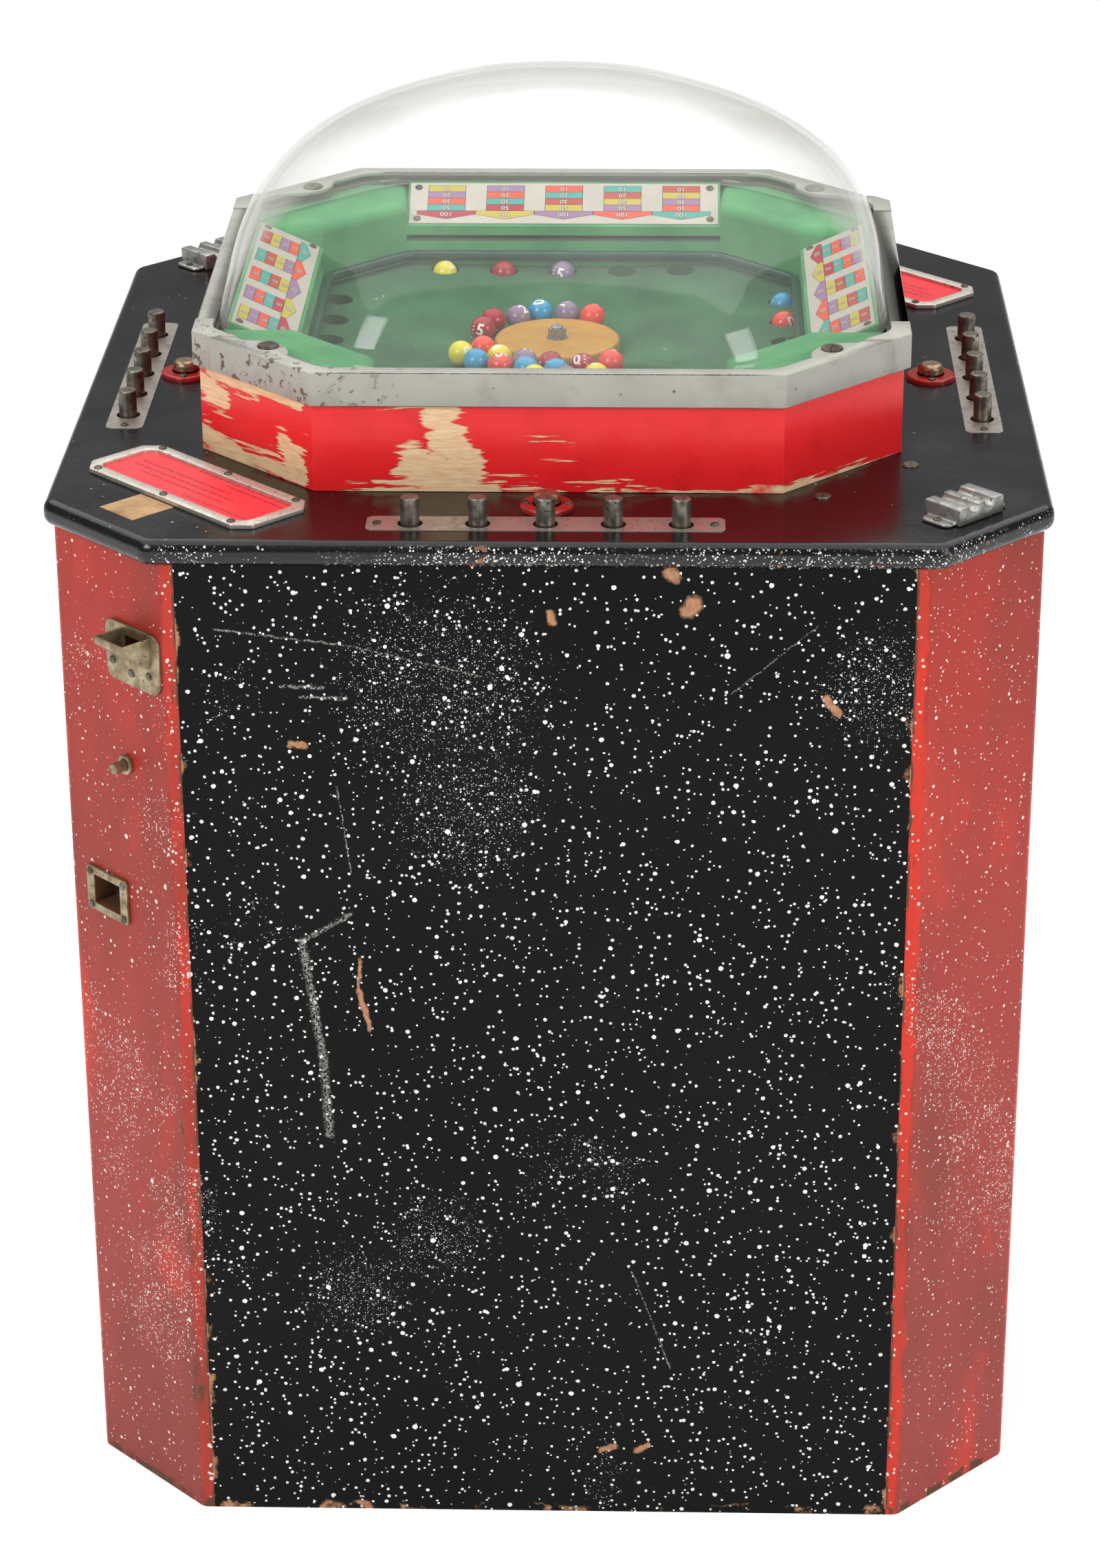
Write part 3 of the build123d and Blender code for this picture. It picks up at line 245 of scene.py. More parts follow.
def spatter(tree, where, cloud_level, drops, puffs=()):
    """1 on white drops, the larger ones scaled by drops; puffs are places in mm, each with the radius
    of a cloud of mist round it."""
    rough = ragged(tree, where, 2.5, 0.35)
    clouds = [patches(tree, where, 200, cloud_level, 0.1, detail=3.0)]
    clouds += [stroke(tree, where, place, place, radius, 0.9) for place, radius in puffs]
    grains = specks(tree, where, *MIST)
    nearby = add(tree, "TexNoise", {"Vector": where, "Scale": 1000 / 3, "Detail": 2.0}).outputs[0]
    thin = add(tree, "Math", {0: together(tree, clouds), 1: 0.8}, operation="MULTIPLY").outputs[0]
    thick = add(tree, "Math", {0: thin, 1: nearby}, operation="GREATER_THAN").outputs[0]
    mist = together(tree, [grains, thick], "MULTIPLY")
    larger = [specks(tree, rough, spacing, biggest * drops, rarity, shift)
              for spacing, biggest, rarity, shift in (MIDDLING, BIG)]
    return together(tree, [mist, specks(tree, rough, *FINE), *larger])


def folded(tree, where):
    """How far out a point is along X and along Y, so that one pattern serves all four sides."""
    size = add(tree, "VectorMath", {0: where}, operation="ABSOLUTE").outputs[0]
    return add(tree, "SeparateXYZ", {0: size}).outputs[:2]


def near_edge(tree, where, place, width, size=9):
    """1 in a ragged band beside the upright edges that are place mm from the middle of a side."""
    x, y = folded(tree, ragged(tree, where, size, width * 0.5))
    along = add(tree, "Math", {0: x, 1: y}, operation="MINIMUM").outputs[0]
    past = add(tree, "Math", {0: along, 1: place * MM}, operation="SUBTRACT").outputs[0]
    away = add(tree, "Math", {0: past}, operation="ABSOLUTE").outputs[0]
    near, far = 0.6 * width * MM, width * MM
    return add(tree, "MapRange", {0: away, 1: near, 2: far, 3: 1.0, 4: 0.0}).outputs[0]


def low_down(tree, where, height):
    """1 in a ragged band under height mm from the floor."""
    z = add(tree, "SeparateXYZ", {0: ragged(tree, where, 25, height * 0.5)}).outputs[2]
    near, far = 0.7 * height * MM, height * MM
    return add(tree, "MapRange", {0: z, 1: near, 2: far, 3: 1.0, 4: 0.0}).outputs[0]


def behind_face(tree, where, half, chamfer):
    """1 on the inner sides of the boards: behind both the flat faces and the cut-off corners."""
    x, y = folded(tree, where)
    flat = add(tree, "Math", {0: x, 1: y}, operation="MAXIMUM").outputs[0]
    slanted = add(tree, "Math", {0: x, 1: y}, operation="ADD").outputs[0]
    inside = [add(tree, "Math", {0: reach, 1: limit * MM}, operation="LESS_THAN").outputs[0]
              for reach, limit in ((flat, half - 1), (slanted, (chamfer - 1) * math.sqrt(2)))]
    return together(tree, inside, "MULTIPLY")


# %% Black spattered panels
# Distances from the middle, in mm: the flat faces, the cut-off corners and the upright seams.
BODY_FACE, BODY_CHAMFER, SEAM = 380, 472, 278


def on_front(strokes):
    """Strokes drawn as (x, z) on the cabinet's front face, each with its width, all in mm."""
    return [((x0, -BODY_FACE, z0), (x1, -BODY_FACE, z1), width) for (x0, z0), (x1, z1), width in strokes]


KNOCKS = on_front([
    ((94, 836), (97, 833), 5), ((112, 811), (108, 806), 6), ((5, 803), (6, 796), 3),
    ((-194, 694), (-183, 693), 2.4), ((212, 735), (222, 722), 3), ((-145, 511), (-147, 484), 1.7),
    ((-147, 484), (-139, 450), 2.0), ((44, 60), (54, 64), 2.6), ((72, 60), (82, 66), 2.2)])
SCRATCHES = on_front([
    ((-249, 788), (-150, 776), 0.7), ((-150, 776), (-48, 751), 0.6), ((-152, 550), (-190, 526), 1.6),
    ((-190, 526), (-176, 420), 2.6), ((-176, 420), (-173, 355), 2.8), ((141, 738), (205, 794), 0.5),
    ((68, 231), (99, 140), 0.5), ((-200, 742), (-168, 741), 1.2), ((-185, 733), (-150, 732), 1.0),
    ((-160, 660), (-150, 585), 0.5)])
PUFFS = [((x, -BODY_FACE, z), radius) for x, z, radius in (
    (-87, 261, 42), (-79, 742, 85), (253, 744, 50), (-154, 209, 45), (-60, 640, 60))]
material, tree, where = new_finish("spattered_black_oil_paint")
rough = ragged(tree, ragged(tree, where, 9, 1.6), 2.2, 0.9)
grain = add(tree, "TexNoise", {"Vector": where, "Scale": 1000 / 1.2, "Detail": 3.0}).outputs[0]
wood, _ = mottled(tree, where, 5, 5.0, ("#7b4a30", "#cf9f7b"))
paint, _ = mottled(tree, where, 160, 2.0, ("#060606", "#121211"))
chalky = ragged(tree, where, 6, 0.9)
scuffs = together(tree, [stroke(tree, chalky, a, b, w, 0.6) for a, b, w in SCRATCHES])
scuffs = together(tree, [scuffs, patches(tree, where, 1.8, 0.5, 0.03)], "MULTIPLY")
WORN_PLACES = [(near_edge(tree, where, SEAM, 1.4), patches(tree, where, 30, 0.58)),
               (low_down(tree, where, 8), patches(tree, where, 22, 0.6)),
               (near_edge(tree, where, SEAM, 5), patches(tree, where, 30, 0.64)),
               (patches(tree, where, 9, 0.74, 0.01), patches(tree, where, 160, 0.56))]
worn = together(tree, [stroke(tree, rough, a, b, w) for a, b, w in KNOCKS] +
                [together(tree, pair, "MULTIPLY") for pair in WORN_PLACES])
coat_over(tree, [(None, paint, 0.45), (spatter(tree, where, 0.64, 1.0, PUFFS), "#e4e4e0", 0.5),
                 (scuffs, "#93918b", 0.7), (worn, wood, 0.75),
                 (behind_face(tree, where, BODY_FACE, BODY_CHAMFER), "#9a7048", 0.8)],
          [(grain, 0.12), (worn, -0.5)], Specular_IOR_Level=0.1)
dress(["side_panels", "rear_door"], material)

# %% Red spattered corners
material, tree, where = new_finish("spattered_vermilion_oil_paint")
height = add(tree, "SeparateXYZ", {0: where}).outputs[2]
# The red is browner towards the bottom of the panels and purer towards the top.
height_blend = add(tree, "MapRange", {0: height, 1: 0.15, 2: 0.8, 3: 0.0, 4: 1.0}).outputs[0]
paint = add(tree, "Mix", {0: height_blend, 6: linear("#94342b"), 7: linear("#a6281a")}, data_type="RGBA").outputs[2]
bright = patches(tree, where, 90, 0.6, 0.05, stretch=(1, 1, 0.35))
grain = add(tree, "TexNoise", {"Vector": where, "Scale": 1000 / 1.2, "Detail": 3.0}).outputs[0]
dirt = patches(tree, where, 120, 0.6, 0.12, stretch=(1, 1, 0.3))
# A brighter red band beside each seam is a painted highlight: the flat return there is drawn lighter as if it
# caught more light.
fresh_tone_and_lit_band = near_edge(tree, where, SEAM + 4, 7, 30)
flaking = [near_edge(tree, where, SEAM + 8, 7), patches(tree, where, 22, 0.63, stretch=(1, 1, 0.3))]
edges = together(tree, [near_edge(tree, where, SEAM, 2), low_down(tree, where, 8),
                        together(tree, flaking, "MULTIPLY")])
edges = together(tree, [edges, patches(tree, where, 16, 0.47, stretch=(1, 1, 0.5))], "MULTIPLY")
CHIPS = [((-271, -396, 795), 5), ((-278, -389, 706), 4), ((-277, -388, 692), 5), ((-279, -390, 678), 4)]
splintered = ragged(tree, where, 7, 1.6)
chips = together(tree, [stroke(tree, splintered, place, place, radius) for place, radius in CHIPS])
# Coats over the red paint; the brighter band beside the seams among them is a painted highlight.
coat_over(tree, [(None, paint, 0.45), (bright, "#bb3020", 0.45), (fresh_tone_and_lit_band, "#c8311f", 0.4),
                 (dirt, "#7c362d", 0.6), (spatter(tree, where, 0.60, 0.95), "#e6d4cd", 0.5),
                 (edges, "#5d3d2b", 0.75), (chips, "#d99a66", 0.75),
                 # Bare ply on the inner sides, made dark brown as painted shade inside the coin return hole.
                 (behind_face(tree, where, BODY_FACE - 1, BODY_CHAMFER - 0.4), "#5a3d28", 0.8)],
          [(grain, 0.12), (edges, -0.3)], Specular_IOR_Level=0.25)
dress(["corner_panels", "coin_corner_panel"], material)

# %% [markdown]
# ## Lacquer, gloss paint and enamel
#
# The top board is black lacquer brushed thick over ply. Under the lights it mirrors the red plinth, and its
# surface has the fine dimples called orange peel. A bump map of 3 mm noise breaks the mirror in the same
# way. The rounded nosing caught the white spatter and the knocks.

# %% Black lacquer of the top board
material, tree, where = new_finish("black_brushed_lacquer")
board_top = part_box("top_board")[1].z
peel = add(tree, "TexNoise", {"Vector": where, "Scale": 1000 / 3.2, "Detail": 2.0}).outputs[0]
height = add(tree, "SeparateXYZ", {0: where}).outputs[2]
nosing = add(tree, "MapRange", {0: height, 1: board_top - 1.5 * MM, 2: board_top - 4 * MM}).outputs[0]
dust = together(tree, [specks(tree, where, 9, 0.9, 3.0), patches(tree, where, 160, 0.55)], "MULTIPLY")
drops = together(tree, [spatter(tree, where, 0.45, 0.9), nosing, patches(tree, where, 190, 0.47)], "MULTIPLY")
scuffs = [patches(tree, where, 5, 0.62, 0.02, (1, 1, 2)), patches(tree, where, 60, 0.55), nosing]
knocks = together(tree, [patches(tree, where, 18, 0.66, 0.01), nosing], "MULTIPLY")
smears = patches(tree, where, 70, 0.5, 0.3)
gloss = add(tree, "MapRange", {0: smears, 3: 0.12, 4: 0.3}).outputs[0]
coat_over(tree, [(None, "#0e0d0e", gloss), (together(tree, scuffs, "MULTIPLY"), "#3c3a37", 0.55),
                 (dust, "#9a9690", 0.5), (drops, "#dcd9d4", 0.5), (knocks, "#8a5b3d", 0.7)],
          [(peel, 0.2)], Specular_IOR_Level=0.42)
dress(["top_board"], material)

# %% Red gloss paint that flakes off plywood
PLINTH_FACE, PLINTH_CHAMFER = 275, 321.7       # mm from the middle
FLAKES = [
    ((-82, -275, 922), (-76, -275, 900), 14), ((-72, -275, 900), (-60, -275, 880), 13),
    ((-104, -275, 885), (-80, -275, 870), 14), ((-125, -275, 860), (-40, -275, 862), 7),
    ((-145, -275, 930), (-60, -275, 932), 4), ((-48, -275, 866), (50, -275, 862), 3.5),
    ((60, -275, 863), (110, -275, 861), 2.5), ((-262, -192, 928), (-225, -229, 926), 9),
    ((-272, -183, 915), (-256, -199, 905), 11), ((-240, -215, 925), (-190, -265, 928), 5),
    ((-272, -183, 875), (-240, -215, 866), 9), ((-235, -220, 868), (-190, -265, 868), 8),
    ((-205, -250, 890), (-192, -263, 880), 9)]
material, tree, where = new_finish("red_gloss_paint_on_plywood")
long_grain = add(tree, "Mapping", {"Vector": where, "Scale": (0.12, 0.12, 1)}).outputs[0]
wood, grain = mottled(tree, long_grain, 2.2, 5.0, ("#e0b084", "#ffdfb4"), (0.3, 0.7), 0.65)
streaks = add(tree, "Mapping", {"Vector": where, "Scale": (0.08, 0.08, 1)}).outputs[0]
torn = ragged(tree, where, 6, 8, streaks)
torn = ragged(tree, torn, 2.2, 3.5, streaks)
flaked = together(tree, [stroke(tree, torn, a, b, w, 0.08) for a, b, w in FLAKES])
elsewhere = [patches(tree, streaks, 5, 0.63, 0.01), patches(tree, where, 120, 0.55)]
torn_height = add(tree, "SeparateXYZ", {0: torn}).outputs[2]
low, high = board_top + 2.5 * MM, board_top + 4 * MM
foot = add(tree, "MapRange", {0: torn_height, 1: low, 2: high, 3: 1.0, 4: 0.0}).outputs[0]
foot = together(tree, [foot, patches(tree, where, 60, 0.5, 0.05)], "MULTIPLY")
bare = together(tree, [flaked, together(tree, elsewhere, "MULTIPLY"), foot])
coat_over(tree, [(None, "#f1262a", 0.3), (patches(tree, where, 30, 0.62, 0.1), "#e32024", 0.3),
                 (bare, wood, 0.62),
                 (behind_face(tree, where, PLINTH_FACE, PLINTH_CHAMFER), "#6d675c", 0.8)],
          [(bare, -0.35), (grain, 0.05)], Specular_IOR_Level=0.4)
dress(["plinth"], material)

# %% Grey enamelled frame with rust showing through
material, tree, where = new_finish("grey_stoved_enamel")
tone, mottle = mottled(tree, where, 45, 5.0, ("#9c9b92", "#b5b4aa"))
left_corner = stroke(tree, where, (-279, -181, 945), (-181, -279, 945), 46, 0.9)
rusting = together(tree, [left_corner, patches(tree, where, 60, 0.66)])
rust = together(tree, [patches(tree, where, 8, 0.6, 0.012), rusting], "MULTIPLY")
grime = patches(tree, where, 26, 0.62, 0.12)
freckles = specks(tree, where, 8, 0.9, 3.5)
coat_over(tree, [(None, tone, 0.38), (grime, "#98948a", 0.5), (freckles, "#6a5644", 0.6),
                 (rust, "#6b5740", 0.75)],
          [(rust, -0.25), (mottle, 0.08)], Specular_IOR_Level=0.5)
dress(["dome_frame"], material)

# %% [markdown]
# ## Felt
#
# The dish and its walls are covered with billiard felt, which is wool pressed into a soft mat. It has no
# shine straight on but glows a little at a slant, which is what sheen does. The fibres are about 0.02 mm
# thick, far too fine to show, so the nap is drawn with noise as coarse as 1 mm.

# %% Felt on the dish and on the walls
FELTS = {
    "dark_green_wool_felt": (("#1f5431", "#377247"), ["playfield", "pocket_blocks"]),
    "light_green_wool_felt": (("#3f8a54", "#5cab6d"), ["well_walls"]),
}
for name, (tones, parts) in FELTS.items():
    material, tree, where = new_finish(name)
    nap = add(tree, "TexNoise", {"Vector": where, "Scale": 1000 / 1.0, "Detail": 4.0}).outputs[0]
    shade, _ = mottled(tree, where, 55, 7.0, tones, (0.3, 0.7))
    lint = specks(tree, ragged(tree, where, 3, 1.2), 16, 0.8, 2.5)
    coat_over(tree, [(None, shade, 0.95), (lint, "#8fbf98", 0.95)], [(nap, 0.5)],
              Sheen_Weight=0.12, Sheen_Roughness=0.5, Specular_IOR_Level=0.1)
    dress(parts, material)

# %% [markdown]
# ## Metals and small parts
#
# Most of the fittings are steel or brass with a thin coat of nickel. Years of hands have dulled them, so
# each has a mottled colour, brown in the hollows, and a roughness that wanders. One loop makes them all,
# because they differ only in their colours and gloss.

# %% Plated and bare metals
KEYS = [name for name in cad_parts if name.startswith("key_") and name[-1].isdigit()]
KNOBS = [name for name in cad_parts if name.startswith("spin_button_") and "flange" not in name]
STEEL_PARTS = ["coin_mechanism", "door_hinges", "door_lock", "key_pivot_rods", "spindle"]
# For each metal: its two tones, roughness, the colour of the dirt in its pits, and its parts.
METALS = {
    "tarnished_turned_steel": ("#57524b", "#8d877c", 0.34, "#3a2a1e", KEYS),
    "dull_nickel_sheet": ("#958f85", "#bbb5ac", 0.4, "#665c50", ["button_plates"]),
    "pale_nickel_sheet": ("#c4bdb2", "#e2dcd2", 0.42, "#8f8576", ["instruction_frames"]),
    "worn_nickel_on_brass": ("#7a6c52", "#a8997c", 0.42, "#4b3a26", ["coin_fittings", "coin_button"]),
    "cast_nickel_alloy": ("#8b8a86", "#b9b7b1", 0.38, "#57514a", ["cigarette_rests"]),
    "tarnished_screw_nickel": ("#4f463c", "#80776a", 0.42, "#32261b", ["screws"]),
    "worn_brass_knob": ("#7d6750", "#b39a7c", 0.3, "#4a3522", KNOBS),
    "zinc_plated_steel": ("#8c8d8a", "#b4b5b2", 0.38, "#5d5c57", STEEL_PARTS),
}
for name, (dark, light, gloss, grime, parts) in METALS.items():
    material, tree, where = new_finish(name)
    tone, mottle = mottled(tree, where, 9, 6.0, (dark, light), (0.35, 0.68))
    shine = add(tree, "MapRange", {0: mottle, 1: 0.3, 2: 0.7, 3: gloss + 0.14, 4: gloss - 0.08}).outputs[0]
    fine = add(tree, "TexNoise", {"Vector": where, "Scale": 1000 / 1.4, "Detail": 3.0}).outputs[0]
    pits = patches(tree, where, 3.5, 0.63, 0.03)
    coat_over(tree, [(None, tone, shine), (pits, grime, 0.6)], [(fine, 0.05)], Metallic=0.85)
    dress(parts, material)

# %% Paint on the flanges, the bumper, the disc and the motor
PAINTS = {
    "red_stoved_enamel": ("#8e1f1c", "#b02a24", 0.2, "#4a2018", ["spin_button_flanges"]),
    "dark_green_gloss_enamel": ("#0b3d2d", "#15523f", 0.22, "#0b2a22", ["bumper_rail"]),
    "ochre_lacquered_board": ("#b27c12", "#c99320", 0.34, "#8f6320", ["spin_disc"]),
    "hammered_grey_enamel": ("#3c4248", "#525a61", 0.35, "#2b2e31", ["spin_motor"]),
    "bare_birch_plywood": ("#a9794c", "#c99d6c", 0.7, "#7e5835", ["base_board"]),
    "black_moulded_phenolic": ("#121212", "#1d1d1d", 0.4, "#2b2925", ["cord_gland"]),
}
for name, (dark, light, gloss, grime, parts) in PAINTS.items():
    material, tree, where = new_finish(name)
    tone, _ = mottled(tree, where, 20, 6.0, (dark, light), (0.3, 0.7))
    fine = add(tree, "TexNoise", {"Vector": where, "Scale": 1000 / 2.5, "Detail": 3.0}).outputs[0]
    chips = patches(tree, where, 5, 0.66, 0.03)
    coat_over(tree, [(None, tone, gloss), (chips, grime, gloss + 0.2)], [(fine, 0.04)])
    dress(parts, material)

# %% [markdown]
# ## The bubble
#
# The dome was blown from a heated acrylic sheet through an eight-sided hoop, so it starts as a rounded
# octagon and grows rounder as it rises. It is drawn the way it was blown: a square is cut to an octagon
# and its corners rounded, then the edge is pushed up ring by ring, each ring smaller and nearer a circle.

# %% Foot of the bubble
def clear_selection():
    if bpy.context.object and bpy.context.object.mode != "OBJECT":
        bpy.ops.object.mode_set(mode="OBJECT")
    bpy.ops.object.select_all(action="DESELECT")


def take(piece):
    """Makes a piece the only one selected, and the active one."""
    clear_selection()
    piece.select_set(True)
    bpy.context.view_layer.objects.active = piece
    return piece


def named(piece, name, material, body="cabinet"):
    """Names a new piece, fixes its place in its mesh, gives it its material and its body."""
    take(piece)
    bpy.ops.object.transform_apply(location=True, rotation=True, scale=True)
    piece.name = piece.data.name = name
    if material:
        piece.data.materials.clear()
        piece.data.materials.append(material)
    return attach(piece, body)


def placed(name, data, place=Matrix()):
    """Puts a mesh or lamp in the scene as a new object at a place."""
    piece = bpy.data.objects.new(name, data)
    bpy.context.scene.collection.objects.link(piece)
    piece.matrix_world = place
    return piece


def joined(pieces):
    """Joins pieces to the first of them."""
    take(pieces[0])
    for piece in pieces:
        piece.select_set(True)
    bpy.ops.object.join()
    return pieces[0]


dome_low, dome_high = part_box("dome")
FOOT_HALF, FOOT_LEG, FOOT_ROUND, WALL = 264.0, 111.0, 60.0, 5.0    # mm
STRAIGHT = 80.0            # mm; edges longer than this are the eight straight ones
rise = (dome_high.z - dome_low.z) / MM
clear_selection()
bpy.ops.mesh.primitive_plane_add(size=2 * FOOT_HALF * MM, location=(0, 0, dome_low.z))
bubble = bpy.context.object
bpy.ops.object.mode_set(mode="EDIT")
bpy.ops.mesh.bevel(offset=FOOT_LEG * MM, segments=1, affect="VERTICES")
bpy.ops.mesh.select_all(action="SELECT")
bpy.ops.mesh.bevel(offset=FOOT_ROUND * math.tan(math.pi / 8) * MM, segments=7, affect="VERTICES")
mesh = bmesh.from_edit_mesh(bubble.data)
for edge in mesh.edges:
    edge.select_set(False)
for edge in [e for e in mesh.edges if e.calc_length() > STRAIGHT * MM]:
    edge.select_set(True)
bmesh.update_edit_mesh(bubble.data)
bpy.ops.mesh.subdivide(number_cuts=11)
bpy.ops.mesh.select_all(action="SELECT")
bpy.ops.mesh.delete(type="ONLY_FACE")
bpy.ops.mesh.select_all(action="SELECT")
print("foot of the bubble:", len(bubble.data.vertices), "points before the rings")

# %% Rings of the bubble
POWER = 1.8                # of the profile: 2 would be an ellipse
STEPS = 30
ROUNDER = 1.6 / STEPS      # how far each ring moves towards a circle
TIP = 0.004                # width of the last ring, as a share of the foot's
levels = [math.sin(math.pi / 2 * i / STEPS) for i in range(STEPS + 1)]
widths = [(1 - t ** POWER) ** (1 / POWER) for t in levels[:-1]] + [TIP]
for i in range(1, STEPS + 1):
    step_up = (levels[i] - levels[i - 1]) * rise * MM
    bpy.ops.mesh.extrude_edges_move(TRANSFORM_OT_translate={"value": (0, 0, step_up)})
    ratio = widths[i] / widths[i - 1]
    bpy.ops.transform.resize(value=(ratio, ratio, 1), center_override=(0, 0, 0))
    if i < STEPS:
        bpy.ops.transform.tosphere(value=ROUNDER)
bpy.ops.mesh.merge(type="CENTER")
bpy.ops.mesh.select_all(action="SELECT")
bpy.ops.mesh.normals_make_consistent(inside=False)
bpy.ops.object.mode_set(mode="OBJECT")
wall = bubble.modifiers.new("wall", "SOLIDIFY")
wall.thickness, wall.offset = WALL * MM, -1
bpy.ops.object.modifier_apply(modifier="wall")
bpy.ops.object.shade_smooth()
print("bubble:", len(bubble.data.polygons), "faces,", [round(v, 3) for v in bubble.dimensions])

# %% Acrylic of the bubble
material, tree, where = new_finish("blown_clear_acrylic")
# Whiter at a slant: partly the haze of the acrylic, partly a painted reflection of the white studio.
slant = add(tree, "LayerWeight", {"Blend": 0.4}).outputs["Facing"]
edge_haze_and_painted_reflection = add(tree, "MapRange", {0: slant, 1: 0.5, 2: 0.95, 3: 0.0, 4: 0.66}).outputs[0]
height = add(tree, "SeparateXYZ", {0: where}).outputs[2]
low, high = dome_low.z, dome_low.z + 50 * MM
foot_haze = add(tree, "MapRange", {0: height, 1: low, 2: high, 3: 0.05, 4: 0.0}).outputs[0]
cloudy = add(tree, "TexNoise", {"Vector": where, "Scale": 1000 / 150, "Detail": 4.0}).outputs[0]
haze = add(tree, "MapRange", {0: cloudy, 1: 0.3, 2: 0.8, 3: 0.035, 4: 0.08}).outputs[0]
hairline = ragged(tree, where, 40, 9)
SCRATCH_LINES = [
    ((-150, -232, 985), (-118, -240, 1012), 0.5), ((-158, -225, 990), (-140, -236, 1003), 0.5),
    ((-30, -225, 1010), (70, -228, 1004), 0.4), ((10, -222, 1012), (52, -228, 1000), 0.4),
    ((-60, -210, 1030), (-20, -215, 1026), 0.3)]
scratches = together(tree, [stroke(tree, hairline, a, b, w) for a, b, w in SCRATCH_LINES])
alpha = add(tree, "Math", {0: edge_haze_and_painted_reflection, 1: foot_haze}, operation="ADD").outputs[0]
alpha = add(tree, "Math", {0: alpha, 1: haze}, operation="ADD").outputs[0]
faint = add(tree, "Math", {0: scratches, 1: 0.6}, operation="MULTIPLY").outputs[0]
alpha = together(tree, [alpha, faint])
# The pale base colour is partly milky acrylic and partly a painted reflection of the white studio.
coat_over(tree, [(None, "#dedcd5", 0.05)], Alpha=alpha, IOR=3.2)
named(bubble, "blown_bubble", material)
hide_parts("dome")

# %% [markdown]
# ## Balls
#
# The 25 balls are turned and polished resin, 21 mm across, in five colours. Each carries a white number,
# inked on both sides. The number could be painted by a texture, but a ball rolls, and a texture in the
# machine's own directions would then lie wrong. So the number is flat text, cut into small triangles
# and pressed on to the ball like a transfer. One ball is made for each number and then copied.

# %% Resins and inks
def plain_finish(name, colour, gloss, faded, size=6, **shader):
    """A nearly even finish: its colour wanders a little towards the faded one."""
    material, tree, where = new_finish(name)
    wear = add(tree, "TexNoise", {"Vector": where, "Scale": 1000 / size, "Detail": 5.0}).outputs[0]
    amount = add(tree, "MapRange", {0: wear, 1: 0.45, 2: 0.75, 3: 0.0, 4: 0.7}).outputs[0]
    shine = add(tree, "MapRange", {0: wear, 1: 0.3, 2: 0.8, 3: gloss, 4: gloss + 0.12}).outputs[0]
    coat_over(tree, [(None, colour, shine), (amount, faded, shine)], [(wear, 0.01)], **shader)
    return material


RESINS = {"yellow": ("#e8d92f", "#d8c52a"), "crimson": ("#a81429", "#8f1022"),
          "mauve": ("#8a7690", "#7a6780"), "blue": ("#2c9cc6", "#2288b2"), "coral": ("#ee4437", "#dd3a2f")}
resins = {name: plain_finish(f"polished_{name}_resin", fresh_tone_and_lit_band, 0.08, faded)
          for name, (fresh_tone_and_lit_band, faded) in RESINS.items()}
white_ink = plain_finish("baked_white_ink", "#f3efe6", 0.3, "#d9d2c4")
print(sorted(resins))

# %% One ball for each number
BALL_R = 10.5
INK_THICK = 0.04
NUMBER_HEIGHT, STROKE_SWELL = 9.0, 0.25
CAPITALS = 0.7             # height of a font's capitals and figures, as a share of its size


def flat_text(words, height, swell=0.0):
    """Text as a flat mesh, centred, this many mm high, with its strokes swollen by this many mm."""
    clear_selection()
    bpy.ops.object.text_add(location=(0, 0, 0))
    text = bpy.context.object
    text.data.body, text.data.size = words, height * MM / CAPITALS
    text.data.align_x, text.data.align_y = "CENTER", "CENTER"
    text.data.resolution_u, text.data.offset = 3, swell * MM
    bpy.ops.object.convert(target="MESH")
    return bpy.context.object


def numbered_ball(words):
    """A ball at the origin with the same number on its top and its underside."""
    transfer = flat_text(words, NUMBER_HEIGHT, STROKE_SWELL)
    bpy.ops.object.mode_set(mode="EDIT")
    bpy.ops.mesh.select_all(action="SELECT")
    bpy.ops.mesh.quads_convert_to_tris()
    bpy.ops.mesh.subdivide(number_cuts=2)
    bpy.ops.object.mode_set(mode="OBJECT")
    outside = (BALL_R + INK_THICK) * MM
    for vertex in transfer.data.vertices:
        x, y = vertex.co.x, vertex.co.y
        vertex.co.z = math.sqrt(max(outside ** 2 - x * x - y * y, 0.0))
    bpy.ops.object.duplicate()
    under = bpy.context.object
    bpy.ops.transform.rotate(value=math.pi, orient_axis="X", center_override=(0, 0, 0))
    bpy.ops.object.transform_apply(rotation=True)
    clear_selection()
    bpy.ops.mesh.primitive_uv_sphere_add(segments=30, ring_count=20, radius=BALL_R * MM)
    sphere = bpy.context.object
    bpy.ops.object.shade_smooth()
    for piece, slot in ((sphere, 0), (transfer, 1), (under, 1)):
        piece.data.materials.clear()
        piece.data.materials.append(resins["yellow"])
        piece.data.materials.append(white_ink)
        for face in piece.data.polygons:
            face.material_index = slot
    return joined([sphere, transfer, under])


NUMBERS = ["15", "7", "10", "2", "4"]
masters = [numbered_ball(words) for words in NUMBERS]
print("one ball:", len(masters[0].data.polygons), "faces")

# %% Put the balls where the frame has them
def islands(node):
    """The middle of each separate ball in a CAD node."""
    mesh = bmesh.new()
    mesh.from_mesh(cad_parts[node].data)
    bmesh.ops.remove_doubles(mesh, verts=mesh.verts, dist=1e-6)
    waiting, middles = set(mesh.verts), []
    while waiting:
        found, edge = set(), [waiting.pop()]
        while edge:
            vertex = edge.pop()
            found.add(vertex)
            near = {e.other_vert(vertex) for e in vertex.link_edges} & waiting
            waiting -= near
            edge.extend(near)
        spread = [[v.co[i] for v in found] for i in range(3)]
        middles.append(Vector([(min(c) + max(c)) / 2 for c in spread]))
    mesh.free()
    return middles


def lay_ball(name, centre, colour, number, body, replaced):
    """Copies a numbered ball to its place, rolled by angles that differ from ball to ball."""
    copy = placed(name, masters[number % len(masters)].data.copy())
    copy.rotation_euler = (-0.5 + 0.37 * number, 0.3 * math.sin(3.1 * number), 2.4 * number)
    copy.location = centre
    named(copy, name, None, body)
    copy.data.materials[0] = resins[colour]
    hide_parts(replaced)


